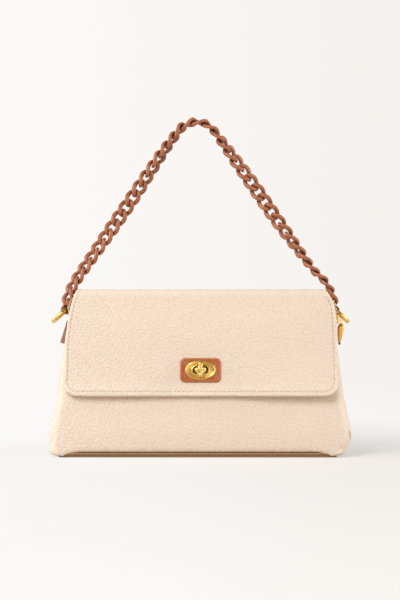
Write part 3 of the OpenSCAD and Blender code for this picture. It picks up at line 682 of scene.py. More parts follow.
FLAP_MID = (FLAP_GAP + FLAP_HALF_T) / LEAN_COS
BEND_Z = FLAP_TOP - FLAP_BEND_R
BEND_Y = -lean_depth(BEND_Z) - FLAP_FACE + FLAP_BEND_R / LEAN_COS
BEND_MID_R = FLAP_BEND_R - FLAP_HALF_T
BEND_TURN = math.pi / 2 - LEAN
FRONT_RUN = (BEND_Z - FLAP_LOW_Z) / LEAN_COS
BEND_RUN = BEND_MID_R * BEND_TURN
TOP_RUN = HINGE[1] - BEND_Y + 1.2
FLAP_RUN = FRONT_RUN + BEND_RUN + TOP_RUN
LOW_LIFT = 1.7  # how far the flap stands out along its whole lower edge
SIDE_LIFT = 1.0  # and more on both sides of the lock
CORNER_LIFT = 2.5  # and more at its right corner
SEAM_IN = 4.0
SEAM_DEPTH = 0.45
STITCH_PITCH = 3.9
STITCH_LEN = 2.7


def flap_lift(x, s):
    """How far the soft flap stands out: over the bulge, along its lower edge and at its right corner."""
    lift = front_bulge(x, FLAP_LOW_Z + s * LEAN_COS) * (1 - smooth_step(FRONT_RUN - 26, FRONT_RUN, s))
    lift = lift + CORNER_LIFT * smooth_step(22.0, 95.0, x) * (1 - smooth_step(2.0, 46.0, s))
    lift = lift + SIDE_LIFT * smooth_step(20.0, 60.0, np.abs(x)) * (1 - smooth_step(2.0, 30.0, s))
    return lift + LOW_LIFT * (1 - smooth_step(0.0, 13.0, s))


def flap_middle(x, s):
    """The middle layer of the flap at a place across it and a run up from its lower edge,
    with the direction that points out of it."""
    x, s = np.asarray(x, float), np.asarray(s, float)
    z = FLAP_LOW_Z + s * LEAN_COS
    front = points_at(x, -lean_depth(z) - FLAP_MID - flap_lift(x, s), z)
    angle = math.pi - LEAN - clamped((s - FRONT_RUN) / BEND_RUN) * BEND_TURN
    bend_out = points_at(0.0, np.cos(angle), np.sin(angle))
    bend = points_at(x, BEND_Y, BEND_Z) + BEND_MID_R * bend_out
    run = np.clip(s - FRONT_RUN - BEND_RUN, 0, None)
    sag = -0.7 * np.sin(np.pi * clamped(run / TOP_RUN)) * (1 - (x / FLAP_HALF_W) ** 4)
    top = points_at(x, BEND_Y + run, BEND_Z + BEND_MID_R + sag)
    on_front = (s <= FRONT_RUN)[..., None]
    on_top = (s >= FRONT_RUN + BEND_RUN)[..., None]
    middle = np.where(on_front, front, np.where(on_top, top, bend))
    return middle, np.where(on_front, OUT_FRONT, np.where(on_top, [0.0, 0.0, 1.0], bend_out))


def flap_side(table):
    """One side of the flap's edge, from its lower middle to its hinge."""
    s = np.linspace(FLAP_CORNER_R + 4, FLAP_RUN - FLAP_HINGE_R, 60)
    side = np.stack([places(table, s), s], axis=1)
    corner = arc((table[0][1] - FLAP_CORNER_R, FLAP_CORNER_R), FLAP_CORNER_R, -90, 0, 26)
    hinge = arc((side[-1, 0] - FLAP_HINGE_R, FLAP_RUN - FLAP_HINGE_R), FLAP_HINGE_R, 6, 90, 16)
    return np.concatenate([[[0.0, 0.0]], corner, side, hinge])


# The flap's edge as places across it and runs up it, anticlockwise from the lower middle
FLAP_EDGE = even_points(
    np.concatenate([flap_side(FLAP_RIGHT_PLACES), flap_side(FLAP_LEFT_PLACES)[:0:-1] * [-1, 1]]), 520
)
# The seam lies further in along the lower edge than along the sides
FLAP_INWARDS = inward_normals(FLAP_EDGE) * (0.82 + 0.22 * (1 - smooth_step(4.0, 16.0, FLAP_EDGE[:, 1:])))


def flap_ring(line, height):
    middle, out = flap_middle(*line.T)
    return middle + out * height


def edge_rings(insets, heights):
    """Rings of the flap at steps in from its edge."""
    return [flap_ring(FLAP_EDGE + FLAP_INWARDS * inset, height) for inset, height in zip(insets, heights)]


def fill_rings(from_inset, height, steps):
    """Rings from a step in from the flap's edge on to a line through its middle."""
    start = FLAP_EDGE + FLAP_INWARDS * from_inset
    spine = np.clip(start * [0.5, 0], -55, 55) + [0, 0.52 * FLAP_RUN]
    return [flap_ring(start + (spine - start) * share, height) for share in np.linspace(0, 1, steps + 1)[1:]]


def on_lock(x, z, out):
    """A point by the lock: across, up along the leaning front, and out of the flap's outer face."""
    middle = np.array([x, -lean_depth(LOCK_Z) - FLAP_FACE, LOCK_Z])
    return middle + UP_FRONT * z + OUT_FRONT * out


def lock_ring(line, height):
    return [on_lock(x, z, height) for x, z in line]


def lock_hole(piece):
    """Cuts the lock's slot through a piece with a slot-shaped cutter."""
    half_w, half_h, radius, reach = 7.6, 4.25, 4.2, 6.0
    line = rounded_outline(half_w, half_h, radius, 64)
    solid = skin([lock_ring(line, out) for out in (-reach, reach)], caps=True)
    tool = make_piece("cutter", [solid], GOLD, "flap")
    cut = piece.modifiers.new("slot", "BOOLEAN")
    cut.object = tool
    cut.operation = "DIFFERENCE"
    cut.solver = "EXACT"
    bpy.context.view_layer.objects.active = piece
    piece.select_set(True)
    bpy.ops.object.modifier_apply(modifier="slot")
    piece.select_set(False)
    bpy.data.objects.remove(tool)
    shade(piece.data, 42.0)


def make_flap():
    """The flap's leather rolls round its edge and has a sewn channel. Its lining is let in underneath."""
    insets = [0.0, 0.12, 0.45, 0.95, 1.6, 2.3, 2.9, 3.3, 3.65, SEAM_IN, 4.35, 4.8, 5.4, 6.4, 8.0]
    heights = []
    for inset in insets:
        rise = FLAP_HALF_T * math.sqrt(max(0.0, 1 - (1 - min(inset / 1.15, 1.0)) ** 2))
        heights.append(rise - SEAM_DEPTH * hump(inset, SEAM_IN, 0.75) + 0.16 * hump(inset, 2.2, 1.0))
    outer = edge_rings(insets, heights) + fill_rings(insets[-1], heights[-1], 34)
    insets = [0.12, 0.45, 0.95, 1.6, 3.0, 6.0]
    heights = [-FLAP_HALF_T * math.sqrt(1 - (1 - min(inset / 1.6, 1.0)) ** 2) for inset in insets]
    under, let_in = 0.9 - FLAP_HALF_T, 6.6
    inner = edge_rings(insets + [let_in], heights + [under]) + fill_rings(let_in, under, 24)
    solid = skin(outer[::-1] + inner)
    lock_hole(make_piece("flap_leather", [solid], LEATHER, "flap", "flap_outer"))
    low, high, lining_in = -FLAP_HALF_T - 0.12, -FLAP_HALF_T + 0.5, 5.9
    below = edge_rings([5.2, 5.3, lining_in], [-FLAP_HALF_T + 0.05, low + 0.02, low])
    below += fill_rings(lining_in, low, 24)
    above = edge_rings([5.3, lining_in], [high - 0.05, high]) + fill_rings(lining_in, high, 24)
    solid = skin(below[::-1] + above)
    lock_hole(make_piece("flap_lining_cloth", [solid], LINING, "flap", "flap_lining"))


def stitch(start, end, out, radius=0.33, dip=0.18):
    """One stitch: a short thread that rises out of its hole, lies on the leather and goes down again."""
    start, end, out = np.array(start), np.array(end), unit(out)
    across = np.cross(unit(end - start), out)
    rings = []
    for t in np.linspace(0, 1, 7):
        rise = math.sin(math.pi * t)
        middle = start + (end - start) * t + out * (radius * 0.9 * rise**0.6 - dip)
        thick = radius * (0.55 + 0.45 * rise**0.5)
        rings.append([middle + thick * (math.cos(a) * across + math.sin(a) * out) for a in round_angles(8)])
    return skin(rings, caps=True)


def make_flap_stitches():
    """The stitch row runs round the flap's sides and lower edge, and leaves out the hinge."""
    seam = FLAP_EDGE + FLAP_INWARDS * SEAM_IN
    runs = runs_of(seam)
    threads = []
    for k in range(int(runs[-1] / STITCH_PITCH)):
        ends = at_run(seam, runs, [k * STITCH_PITCH, k * STITCH_PITCH + STITCH_LEN])
        if max(ends[:, 1]) <= FLAP_RUN - 12:
            line, out = flap_middle(*ends.T)
            threads.append(stitch(*(line + out[0] * (FLAP_HALF_T - SEAM_DEPTH)), out[0]))
    make_piece("flap_stitches", threads, THREAD, "flap")


def make_hinge_strip():
    """The strip is sewn to the back and rises to the flap's rolled edge."""
    left, right, foot = STRIP_LOW[0], STRIP_HIGH[0], STRIP_LOW[2]
    seam_in = 3.0
    columns = np.linspace(left, right, 90)
    outer, inner = [], []
    for z in spaced(foot, STRIP_HIGH[2], 22, 0.7):
        edge = np.minimum(np.minimum(columns - left, right - columns), z - foot)
        sunk = 0.8 * (1 - clamped(edge / 1.2)) ** 2 + 0.3 * hump(edge, seam_in, 0.7)
        outer.append(points_at(columns, lean_depth(z) + LEATHER_T - sunk, z))
        inner.append(points_at(columns, lean_depth(z) + 0.15, z))
    make_piece("hinge_leather", [shell(outer, inner)], LEATHER, "bag", "hinge_strip")
    threads = []
    z = foot + seam_in
    for k in range(int((right - left - 8) / STITCH_PITCH)):
        start = np.array([left + 4 + k * STITCH_PITCH, lean_depth(z) + LEATHER_T - 0.3, z])
        threads.append(stitch(start, start + [STITCH_LEN, 0, 0], [0, 1, 0]))
    make_piece("hinge_stitches", threads, THREAD, "bag")


# The lock

PATCH_W = PATCH_HIGH[0] - PATCH_LOW[0]
PATCH_H = (PATCH_HIGH[2] - PATCH_LOW[2]) / LEAN_COS - 0.3
PATCH_CORNER_R = 4.5
PATCH_T = 2.0
PLATE_W = PLATE_HIGH[0] - PLATE_LOW[0]
PLATE_H = 17.0
PLATE_T = 1.2
SLOT_W = 13.4
SLOT_H = 7.6
BOSS_PLAY = 1.2  # how much smaller than the slot the boss is
PRONG_IN = 2.4  # how far the prongs stand in from the plate's ends
PRONG_R = 0.8
SEAT_R, BOSS_FOOT_R, SPINDLE_R = 2.6, 3.0, 1.5
BODY_FACE = -FLAP_GAP - FLAP_T  # the body's front, seen from the flap's outer face

# The patch's rolled edge and crease: steps in, with their heights
PATCH_ROLL = [
    (0.5, 0.0), (0.1, 0.3), (0.0, 0.7), (0.22, 1.25), (0.65, 1.75), (1.2, 2.1), (1.8, 2.16), (2.3, 1.95),
    (2.75, 1.55), (3.1, 1.4), (3.5, 1.55), (4.1, 1.8),
]
# The plate's beads and ridges: shares of the way from its edge to its slot, with heights over the patch
PLATE_RIDGES = [
    (0.0, -0.2), (-0.02, 0.2), (0.0, 0.7), (0.07, 1.12), (0.16, 1.2), (0.25, 0.85), (0.30, 0.30),
    (0.36, 0.20), (0.42, 0.65), (0.48, 0.86), (0.54, 0.55), (0.59, 0.15), (0.65, 0.2), (0.72, 0.75),
    (0.81, 1.22), (0.90, 1.26), (0.97, 0.9), (1.0, 0.3), (1.0, -0.6),
]
# The boss's wall: steps in, with heights over its upper edge
BOSS_RIM = [(0.0, -0.4), (0.12, -0.1), (0.35, 0.0), (0.6, -0.2), (0.75, -1.2), (0.9, -1.4)]
# Heights on the knob, each with half its width there
KNOB_PLACES = [
    [-6.7, 0.9], [-6.5, 1.5], [-6.0, 2.0], [-5.3, 2.3], [-4.5, 2.5], [-3.8, 2.8], [-3.1, 3.45], [-2.3, 4.15],
    [-1.4, 4.75], [-0.4, 5.0], [0.6, 4.95], [1.6, 4.55], [2.4, 3.8], [3.0, 3.0], [3.5, 2.3], [4.1, 2.1],
    [4.7, 2.2], [5.4, 2.3], [6.0, 2.05], [6.4, 1.6], [6.7, 0.9],
]
# The knob's domed face: shares of its outline, with their heights
KNOB_DOME = [
    (0.84, 0.0), (0.94, 0.2), (1.0, 0.6), (0.99, 1.1), (0.95, 1.6), (0.87, 2.1), (0.75, 2.55), (0.55, 2.85),
    (0.3, 3.0),
]
# The knob's four lobes: across, up, radius and height
KNOB_LOBES = [(0.0, 5.1, 2.2, 3.5), (0.0, -4.3, 2.1, 3.2), (-2.05, 0.5, 2.1, 3.7), (2.05, 0.5, 2.1, 3.7)]


def disc(x, z, radius, height, count=40):
    return lock_ring(circle((x, z), radius, count), height)


def post(x, radius, heights, count=40):
    """A round post on the lock's face."""
    return skin([disc(x, 0, radius, height, count) for height in heights], caps=True)


def make_patch():
    """A padded leather patch whose edges roll down, with a crease round its middle field."""
    line = rounded_outline(PATCH_W / 2, PATCH_H / 2, PATCH_CORNER_R, 160)
    slot = oval_outline(SLOT_W + 0.1, SLOT_H + 0.1, 160)
    rings = [lock_ring(line + inward_normals(line) * inset, height) for inset, height in PATCH_ROLL]
    inset, level = PATCH_ROLL[-1]
    field = line + inward_normals(line) * inset
    for share in np.linspace(0.15, 1, 8):
        rings.append(lock_ring(field + (slot - field) * share, level + 0.15 * share))
    solid = skin(rings + [lock_ring(slot, 0.0)], loop=True)
    make_piece("patch_leather", [solid], TAN, "flap", "lock_patch")


def make_plate():
    """The oval plate: an outer bead, two fine ridges and a bead round the slot."""
    outer = oval_outline(PLATE_W, PLATE_H, 160)
    slot = oval_outline(SLOT_W, SLOT_H, 160)
    rings = [lock_ring(outer + (slot - outer) * share, PATCH_T + h) for share, h in PLATE_RIDGES]
    prong_x = PLATE_W / 2 - PRONG_IN
    prongs = [post(x, PRONG_R, (PATCH_T + 0.1, -LEATHER_T), 24) for x in (-prong_x, prong_x)]
    make_piece("lock_plate_gold", [skin(rings, loop=True)] + prongs, GOLD, "flap", "lock_eyelet")


def make_boss():
    """The boss that comes through the slot: a low wall, and a sunk floor that the knob stands on."""
    line = oval_outline(SLOT_W - BOSS_PLAY, SLOT_H - BOSS_PLAY, 96)
    top = PATCH_T + PLATE_T - 0.9
    rings = [lock_ring(line, BODY_FACE)]
    rings += [lock_ring(line + inward_normals(line) * inset, top + rise) for inset, rise in BOSS_RIM]
    inset, rise = BOSS_RIM[-1]
    floor = line + inward_normals(line) * inset
    rings += [lock_ring(floor * share, top + rise) for share in (0.75, 0.5, 0.3)]
    seat = post(0, SEAT_R, (top - 1.6, top - 0.5, top - 0.2))
    parts = [skin(rings, caps=True), seat, post(0, BOSS_FOOT_R, (BODY_FACE, BODY_FACE - LEATHER_T))]
    # the boss takes the darker gold, painted shade inside the slot
    make_piece("lock_boss_gold", parts, SHADE_PAINTED_GOLD, "bag", "lock_base")


def make_knob():
    """The turning knob: a bow with a small head, a broad middle and a tapering foot, on a spindle."""
    at_z, half_w = np.array(KNOB_PLACES).T
    z = np.linspace(at_z[0], at_z[-1], 60)
    half = np.interp(z, at_z, half_w)
    line = even_points(np.concatenate([np.stack([half, z], axis=1), np.stack([-half, z], axis=1)[::-1]]), 150)
    base = PATCH_T + PLATE_T + 0.15
    dome = [lock_ring(line * [share, 0.4 + 0.6 * share], base + h) for share, h in KNOB_DOME]
    parts = [skin(dome, caps=True)]
    for x, z, radius, rise in KNOB_LOBES:
        foot = 1.6
        beads = [disc(x, z, radius * 0.98, base + 1.0)]
        for share in (1.0, 0.96, 0.85, 0.68, 0.45, 0.2):
            beads.append(disc(x, z, radius * share, base + foot + (rise - foot) * math.sqrt(1 - share**2)))
        parts.append(skin(beads, caps=True))
    parts.append(post(0, SPINDLE_R, (base + 0.5, BODY_FACE + 0.3)))
    make_piece("knob_gold", parts, GOLD, "knob", "lock_knob", sharp=50)


# The chain

CHAIN_X = 121.6
CHAIN_Z = 132.8
CHAIN_RISE = 171.0
CHAIN_SKEW = 3.4
LINK_COUNT = 41
LINK_W = 10.0
WIRE = 2.8
LINK_GAP = 0.3
LINK_TWIST = math.radians(45.0)
LINK_STEPS = 44
WIRE_STEPS = 14
LEFT_END_SHORTER = 2.2
# The route's points: shares of CHAIN_X across and of CHAIN_RISE up
ROUTE_SHARES = [
    [-1, 0], [-0.984, 0.065], [-0.946, 0.125], [-0.897, 0.181], [-0.74, 0.342],
    [-0.53, 0.56], [-0.32, 0.787], [-0.197, 0.91], [-0.14, 0.957], [-0.066, 0.983],
    [0.008, 0.983], [0.08, 0.957], [0.134, 0.91], [0.372, 0.675], [0.59, 0.45],
    [0.82, 0.226], [0.893, 0.171], [0.95, 0.122], [0.988, 0.066], [1, 0],
]
# Shares of the way along the chain, with the roll of the links in degrees
ROLL_SHARES = [
    [0, 50], [0.06, 55], [0.13, 43], [0.185, 23], [0.24, -2], [0.29, -25], [0.35, -48], [0.42, -70],
    [0.49, -90], [0.55, -104], [0.6, -126], [0.65, -151], [0.7, -177], [0.76, -203], [0.83, -240],
    [0.89, -266], [0.95, -270], [1, -250],
]


def chain_route():
    """The chain's route as close points, on the same curve as the CAD links."""
    ways = [[CHAIN_X, CHAIN_SKEW, 0], [0, 0, CHAIN_RISE]]
    route = np.array(ROUTE_SHARES) @ ways + [0, SWING[1], CHAIN_Z]
    fine = []
    last = len(route) - 1
    for i in range(last):
        p0, p1, p2, p3 = (route[max(0, min(last, k))] for k in (i - 1, i, i + 1, i + 2))
        for t in np.arange(10) / 10.0:
            bend = t * t * (2 * p0 - 5 * p1 + 4 * p2 - p3) + t**3 * (3 * p1 - p0 - 3 * p2 + p3)
            fine.append((2 * p1 + t * (p2 - p0) + bend) / 2)
    return np.array(fine + [route[-1]])


def link(i, route, runs, pitch):
    """One link of round wire, which is broader at its sides than at its ends."""
    s = i * pitch
    here = at_run(route, runs, s)
    ahead = unit(at_run(route, runs, s + pitch / 2) - at_run(route, runs, s - pitch / 2))
    normal = unit(np.cross(ahead, [0, 1, 0]))
    roll = math.radians(np.interp(i / (LINK_COUNT - 1), *np.array(ROLL_SHARES, float).T))
    wide = math.cos(roll) * normal + math.sin(roll) * np.cross(normal, ahead)
    thick = np.cross(ahead, wide)
    t = round_angles(LINK_STEPS)
    side = np.abs(np.sin(t)) ** 1.3
    end = 1 - np.abs(np.sin(t)) ** 0.8
    broad = 0.1 * side if i in (0, LINK_COUNT - 1) else 0.58 * side + 0.44 * end
    reach = (pitch + WIRE) / 2 + LINK_GAP + 0.42 * end
    if i == 0:
        reach = reach - LEFT_END_SHORTER * smooth_step(0.0, 1.0, -np.cos(t))
    twist = -LINK_TWIST * np.cos(t)
    across = np.outer(np.cos(twist), wide) + np.outer(np.sin(twist), thick)
    line = here + np.outer(reach * np.cos(t), ahead) + across * (LINK_W / 2 * squared(t, 1, 0.82)[1])[:, None]
    along = loop_ahead(line)
    out = line - here
    out = unit(out - along * np.sum(out * along, axis=1)[:, None])
    up = np.cross(along, out)
    c, u = squared(round_angles(WIRE_STEPS) + math.pi / WIRE_STEPS, 0.66, 0.66)
    return skin([
        line[k] + np.outer((WIRE / 2 + broad[k]) * c, out[k]) + np.outer(WIRE / 2 * 1.1 * u, up[k])
        for k in range(LINK_STEPS)
    ], loop=True)


def make_chain():
    route = chain_route()
    runs = runs_of(route)
    pitch = runs[-1] / (LINK_COUNT - 1)
    half = LINK_COUNT // 2
    for side, links in (("left", range(half)), ("right", range(half, LINK_COUNT))):
        parts = [link(i, route, runs, pitch) for i in links]
        make_piece("chain_links_" + side, parts, CHAIN, "chain", "chain_" + side, sharp=60)


# Tabs and the zip

MOUTH_END_X = 108.1
TAPE_Z = 136.5
TAPE_T = 0.8
RIM_Z = 141.3
ZIP_Y = -8.0
ROW_GAP = 0.9
TAPE_EDGE_Y = 11.0
TEETH_X = 94.0
SPREAD_X = 97.1  # the rows of teeth meet beyond it
TAIL_DROP = 24.0
TAIL_SHARES = [[0.12, 0], [0.62, 0.1], [1, 0.32], [1, 1]]
TAIL_W = 4.0
TAIL_REACH = 7.5
END_REACH = 4.5
RING_X, RING_Z, RING_R = 127.9, 125.6, 8.4
RING_SLOPE = math.radians(41.8)
LOOP_TURN = math.radians(210.0)
LOOP_R = 3.17
LOOP_HALF_W, LOOP_HALF_T = 2.0, 0.5
NECK_X = 115.3  # where the strap leaves the tab's plate
TAB_R = 4.5
# The tab's plate: steps in from its outline, with their places in X
TAB_LEVELS = [(0.7, 113.9), (0.15, 114.2), (0.0, 114.9), (0.0, 115.9), (0.2, 116.5), (0.8, 116.8)]
# The plate's upper corners on one side: places in Y and Z
TAB_TOP = [(4.5, 3.0), (4.2, 5.0), (3.4, 6.4), (2.2, 7.0)]


def section_ring(middle, across, out, half_w, half_t, count=24):
    """A rounded rectangle about a place."""
    c, u = squared(round_angles(count) + math.pi / count, 0.45, 0.7)
    return middle + np.outer(half_w * c, across) + np.outer(half_t * u, out)


def strap_rings(path, widths, halves, flats):
    """Rings of a flat strap along a path: its half widths, half thicknesses and directions across."""
    rings = []
    for point, along, width, half, flat in zip(path, unit(np.gradient(path, axis=0)), widths, halves, flats):
        across = unit(flat - along * np.dot(flat, along))
        rings.append(section_ring(point, across, np.cross(along, across), width, half))
    return rings


def make_ring_tab(name, side):
    """A leather strap that is riveted to the gusset and looped round the ring."""
    def turned(rings):
        """The right side's points for side 1, and half round the swing axis's middle for -1."""
        rings = np.array(rings, float)
        return rings * [side, side, 1] + [0, SWING[1] * (1 - side), 0]

    sine, cosine = math.sin(RING_SLOPE), math.cos(RING_SLOPE)
    spoke = math.cos(LOOP_TURN) * np.array([cosine, 0, -sine]) + np.array([0, math.sin(LOOP_TURN), 0])
    spot = np.array([RING_X, SWING[1], RING_Z]) + RING_R * spoke
    normal = np.array([sine, 0, cosine])
    axis = unit(np.cross(spoke, normal))
    outs = [math.cos(a) * spoke + math.sin(a) * normal for a in round_angles(48)]
    loop = turned([section_ring(spot + out * LOOP_R, axis, out, LOOP_HALF_W, LOOP_HALF_T) for out in outs])
    corners = np.array(TAB_TOP + [(-y, z) for y, z in TAB_TOP[::-1]])
    plate = []
    for inset, x in TAB_LEVELS:
        top = corners * [1 - inset / TAB_R, 1] - [0, 0.6 * inset]
        outline = np.concatenate([arc((0, 0), TAB_R - inset, 180, 360, 26), top]) + SWING[1:]
        plate.append(points_at(x, *outline.T))
    start = np.array([NECK_X, SWING[1], SWING[2] + 4.0])
    stop = spot + unit(start - spot) * 3.1
    t = np.linspace(0, 1, 9)
    neck = start + np.outer(t, stop - start) + np.outer(np.sin(math.pi * t), [-0.5, 0, 0.9])
    flats = np.outer(1 - t, [0, 1.0, 0]) + np.outer(t, -axis * math.copysign(1, -axis[1]))
    neck = strap_rings(neck, 4.2 - 2.3 * t, 1.3 - 0.5 * t, flats)
    parts = [skin(loop, loop=True), skin(turned(plate), caps=True), skin(turned(neck), caps=True)]
    make_piece("ring_tab_strap_" + name, parts, DARK_TAN, "chain", "ring_tab_" + name)


def hanging_path(reach):
    """The tape's way over the rim and down the outside, as smooth points from CAD corners."""
    corners = [[MOUTH_END_X - 2 * TAPE_T, TAPE_Z], [MOUTH_END_X + TAPE_T, RIM_Z]]
    corners = np.array(corners + [[HALF_MOUTH_W + s * reach, RIM_Z - t * TAIL_DROP] for s, t in TAIL_SHARES])
    runs = runs_of(corners)
    points = at_run(corners, runs, np.linspace(0, runs[-1], 60))
    for _ in range(2):
        points[1:-1] = (points[:-2] + points[1:-1] + points[2:]) / 3
    return points


def mouth_tape(side, row):
    """The tape across the mouth, from its row of teeth to the lining."""
    edge = side * TAPE_EDGE_Y
    wall = side * (lean_depth(TAPE_Z) - LEATHER_T - 1.4)
    ends = np.linspace(SPREAD_X, MOUTH_END_X, 12)
    columns = np.concatenate([-ends[::-1], np.linspace(-TEETH_X, TEETH_X, 80), ends])
    near = np.interp(np.abs(columns), [0, SPREAD_X, MOUTH_END_X], [edge, edge, row])
    top = []
    for share in (0, 0.06, 0.2, 0.4, 0.6, 0.8, 0.95, 1.0):
        y = near + (wall - near) * share
        lip = 0.25 if share == 0 else 0.0
        wave = 0.35 * ripple(columns * 2.2, y * 3, 6.0 + side) * math.sin(math.pi * share)
        top.append(points_at(columns, y, TAPE_Z + TAPE_T - lip + wave))
    below = np.array(top) - [0, 0, TAPE_T]
    below[0, :, 2] += 0.5
    return shell(top, below)


def tail_tape(side, row, turn, reach):
    """The tape's narrow end outside the mouth, on the right for turn 1 and on the left for -1."""
    points = hanging_path(reach)
    along = unit(np.gradient(points, axis=0))
    out = np.stack([-along[:, 1], along[:, 0]], axis=1)
    out = out * np.sign(out[:, 1:].mean())
    grids = []
    for height, thinner in ((TAPE_T, -1), (0.0, 1)):
        grid = []
        for y in (0.0, 0.15, TAIL_W / 2, TAIL_W - 0.15, TAIL_W):
            inset = 0.25 if y in (0.0, TAIL_W) else 0.0
            place = points + out * (height + thinner * inset)
            grid.append(points_at(turn * place[:, 0], y * side + row, place[:, 1]))
        grids.append(grid)
    return shell(*grids)


def make_zip_tape(name, side):
    """One half of the zip's tape: across the mouth, and over both ends of it."""
    row = ZIP_Y + side * ROW_GAP
    parts = [mouth_tape(side, row), tail_tape(side, row, 1, TAIL_REACH), tail_tape(side, row, -1, END_REACH)]
    make_piece("zip_cloth_" + name, parts, TAPE, "bag", "zip_tape_" + name)


def make_end_tab():
    """The leather tab on the zip's blind end: folded over the tape, broader at its foot, and sewn."""
    low, high = box_mm("zip_end_tab")
    top = np.array([high[0] - 0.8, ZIP_Y, high[2] - 0.8])
    down = np.array([low[0] + 2.3, ZIP_Y, low[2] + 0.8]) - top
    t = np.linspace(0, 1, 16)
    path = top + np.outer(t, down) - np.outer(np.sin(math.pi * t), [0.25, 0, 0])
    turn = math.radians(26.0) * t
    widths = 3.4 + 1.6 * t
    widths[[0, -1]] *= [0.93, 0.92]
    halves = 0.8 + 0 * t
    halves[[0, -1]] = 0.55
    rings = strap_rings(path, widths, halves, points_at(np.sin(turn), -np.cos(turn), 0))
    make_piece("end_tab_leather", [skin(rings, caps=True)], TAB_TAN, "bag", "zip_end_tab")
    threads = []
    for side in (-1, 1):
        for share in 0.1 + 0.14 * np.arange(6):
            start = top + down * share + np.array([-0.62, side * (2.6 + 0.9 * share), 0])
            threads.append(stitch(start, start + down * 0.09, [-1, 0, 0.1], 0.25, 0.1))
    make_piece("end_tab_stitches", threads, THREAD, "bag")


# The pull's facets: height over its foot, half width in X, half width in Y, and its middle's lean in X
PULL_LEVELS = [
    [0.0, 1.0, 0.9, -1.2], [0.5, 1.3, 1.15, -1.2], [5.5, 2.1, 2.0, -0.8], [10.2, 2.8, 2.75, -0.3],
    [13.2, 3.0, 3.0, 0.1], [14.0, 2.9, 3.0, 0.2], [15.6, 2.0, 2.0, 0.3], [16.8, 1.0, 1.2, 0.2],
]
PULL_ROUND = 1.08  # a facet's corner stands further out than its middle
EYE_R = 1.3
EYE_HALF_W, EYE_HALF_T = 1.1, 0.36
FOOT_LEN = 3.0


def make_pull():
    """The pull: a faceted gold drop with a round eye on the slider's bail and a dark foot."""
    low, _ = box_mm("zip_pull")
    corners = arc((0, 0), PULL_ROUND, 22.5, 337.5, 8)
    drop = [
        points_at(*(corners * [half_x, half_y] + [BAIL[0] + lean, BAIL[1]]).T, low[2] + 0.3 + height)
        for height, half_x, half_y, lean in PULL_LEVELS
    ]
    outs = [np.array([math.cos(a), 0, math.sin(a)]) for a in round_angles(40)]
    eye = [section_ring(BAIL + out * EYE_R, [0, 1, 0], out, EYE_HALF_W, EYE_HALF_T, 16) for out in outs]
    parts = [skin(drop, caps=True), skin(eye, loop=True)]
    make_piece("pull_gold", parts, PULL_GOLD, "zip_pull", "zip_pull", sharp=25)
    rings = []
    for share in np.linspace(0, 1, 9):
        radius = math.sqrt(max(0.0, 1 - (1 - 2 * share) ** 2)) ** 0.8 + 0.02
        outline = circle((BAIL[0] + PULL_LEVELS[0][3], BAIL[1]), radius, 20)
        rings.append(points_at(*outline.T, low[2] + 0.6 - FOOT_LEN * share))
    make_piece("pull_foot", [skin(rings, caps=True)], DARK_TAN, "zip_pull")


def finish_cad():
    """The CAD solids that stay get the gold."""
    nodes = ["lock_backplate", "lock_eyelet_back", "zip_slider", "zip_teeth_front", "zip_teeth_back"]
    for name in ("tab_rivet_", "ring_", "ring_gate_", "ring_pin_"):
        nodes += [name + "left", name + "right"]
    for node in nodes:
        mesh = frame["nodes"][node].data
        mesh.materials.clear()
        mesh.materials.append(GOLD)
        shade(mesh, 35.0)


# The studio

FLOOR_REACH, FLOOR_BACK, FLOOR_CURVE, WALL_TOP = 4.0, 1.4, 0.6, 3.0
FLOOR_LIT = (0.85, 0.82, 0.79)  # the colour that its shadows are drawn with
FLOOR_BOUNCE = (0.60, 0.51, 0.41)  # the colour that lights the bag from below


def floor_material():
    """The floor shows its own glow to the camera and in gloss, mixed with real shadow near the bag."""
    material = bpy.data.materials.new("pale_floor")
    look = Nodes(material)
    rays = look.add("LightPath").outputs
    seen = {0: rays["Is Camera Ray"], 1: rays["Is Glossy Ray"]}
    seen = look.add("Math", seen, operation="MAXIMUM").outputs[0]
    place = look.split(look.add("TexCoord").outputs["Object"])
    across = look.sum(place["X"], 0.5)
    deep = look.product(place["Y"], 0.7, clamp=True)
    right = look.ramp(across, [(0.1, 0.0), (0.95, 1.0)])
    # painted shade: the glow is darker and warmer towards the right of the floor and the backdrop
    near = look.mix(right, (0.96, 0.965, 0.965), (0.93, 0.91, 0.89))
    far = look.mix(right, (0.975, 0.955, 0.935), (0.91, 0.875, 0.845))
    diffuse = look.add("BsdfDiffuse", {"Color": look.mix(seen, FLOOR_BOUNCE, FLOOR_LIT)})
    glow = look.add("Emission", {"Color": look.mix(deep, near, far), "Strength": 1.0})
    shade_share = look.ramp(across, [(0.33, 0.78), (0.62, 0.38), (0.78, 0.5), (1.0, 0.7)])
    share = look.product(seen, look.sum(look.product(deep, 1.6), shade_share, clamp=True))
    mixed = look.add("MixShader", {0: share, 1: diffuse.outputs[0], 2: glow.outputs[0]})
    look.put(look.output, 0, mixed.outputs[0])
    return material


def make_floor():
    """A pale floor that curves up into the backdrop."""
    profile = [(-FLOOR_REACH, 0.0), (FLOOR_BACK, 0.0)]
    for angle in np.linspace(0.1, math.pi / 2, 12):
        profile.append((FLOOR_BACK + FLOOR_CURVE * math.sin(angle), FLOOR_CURVE * (1 - math.cos(angle))))
    profile.append((FLOOR_BACK + FLOOR_CURVE, WALL_TOP))
    mesh = bpy.data.meshes.new("floor")
    verts = [(side * FLOOR_REACH, y, z) for y, z in profile for side in (-1, 1)]
    mesh.from_pydata(verts, [], [[2 * k, 2 * k + 1, 2 * k + 3, 2 * k + 2] for k in range(len(profile) - 1)])
    mesh.shade_smooth()
    mesh.materials.append(floor_material())
    floor = add_object("floor", mesh)


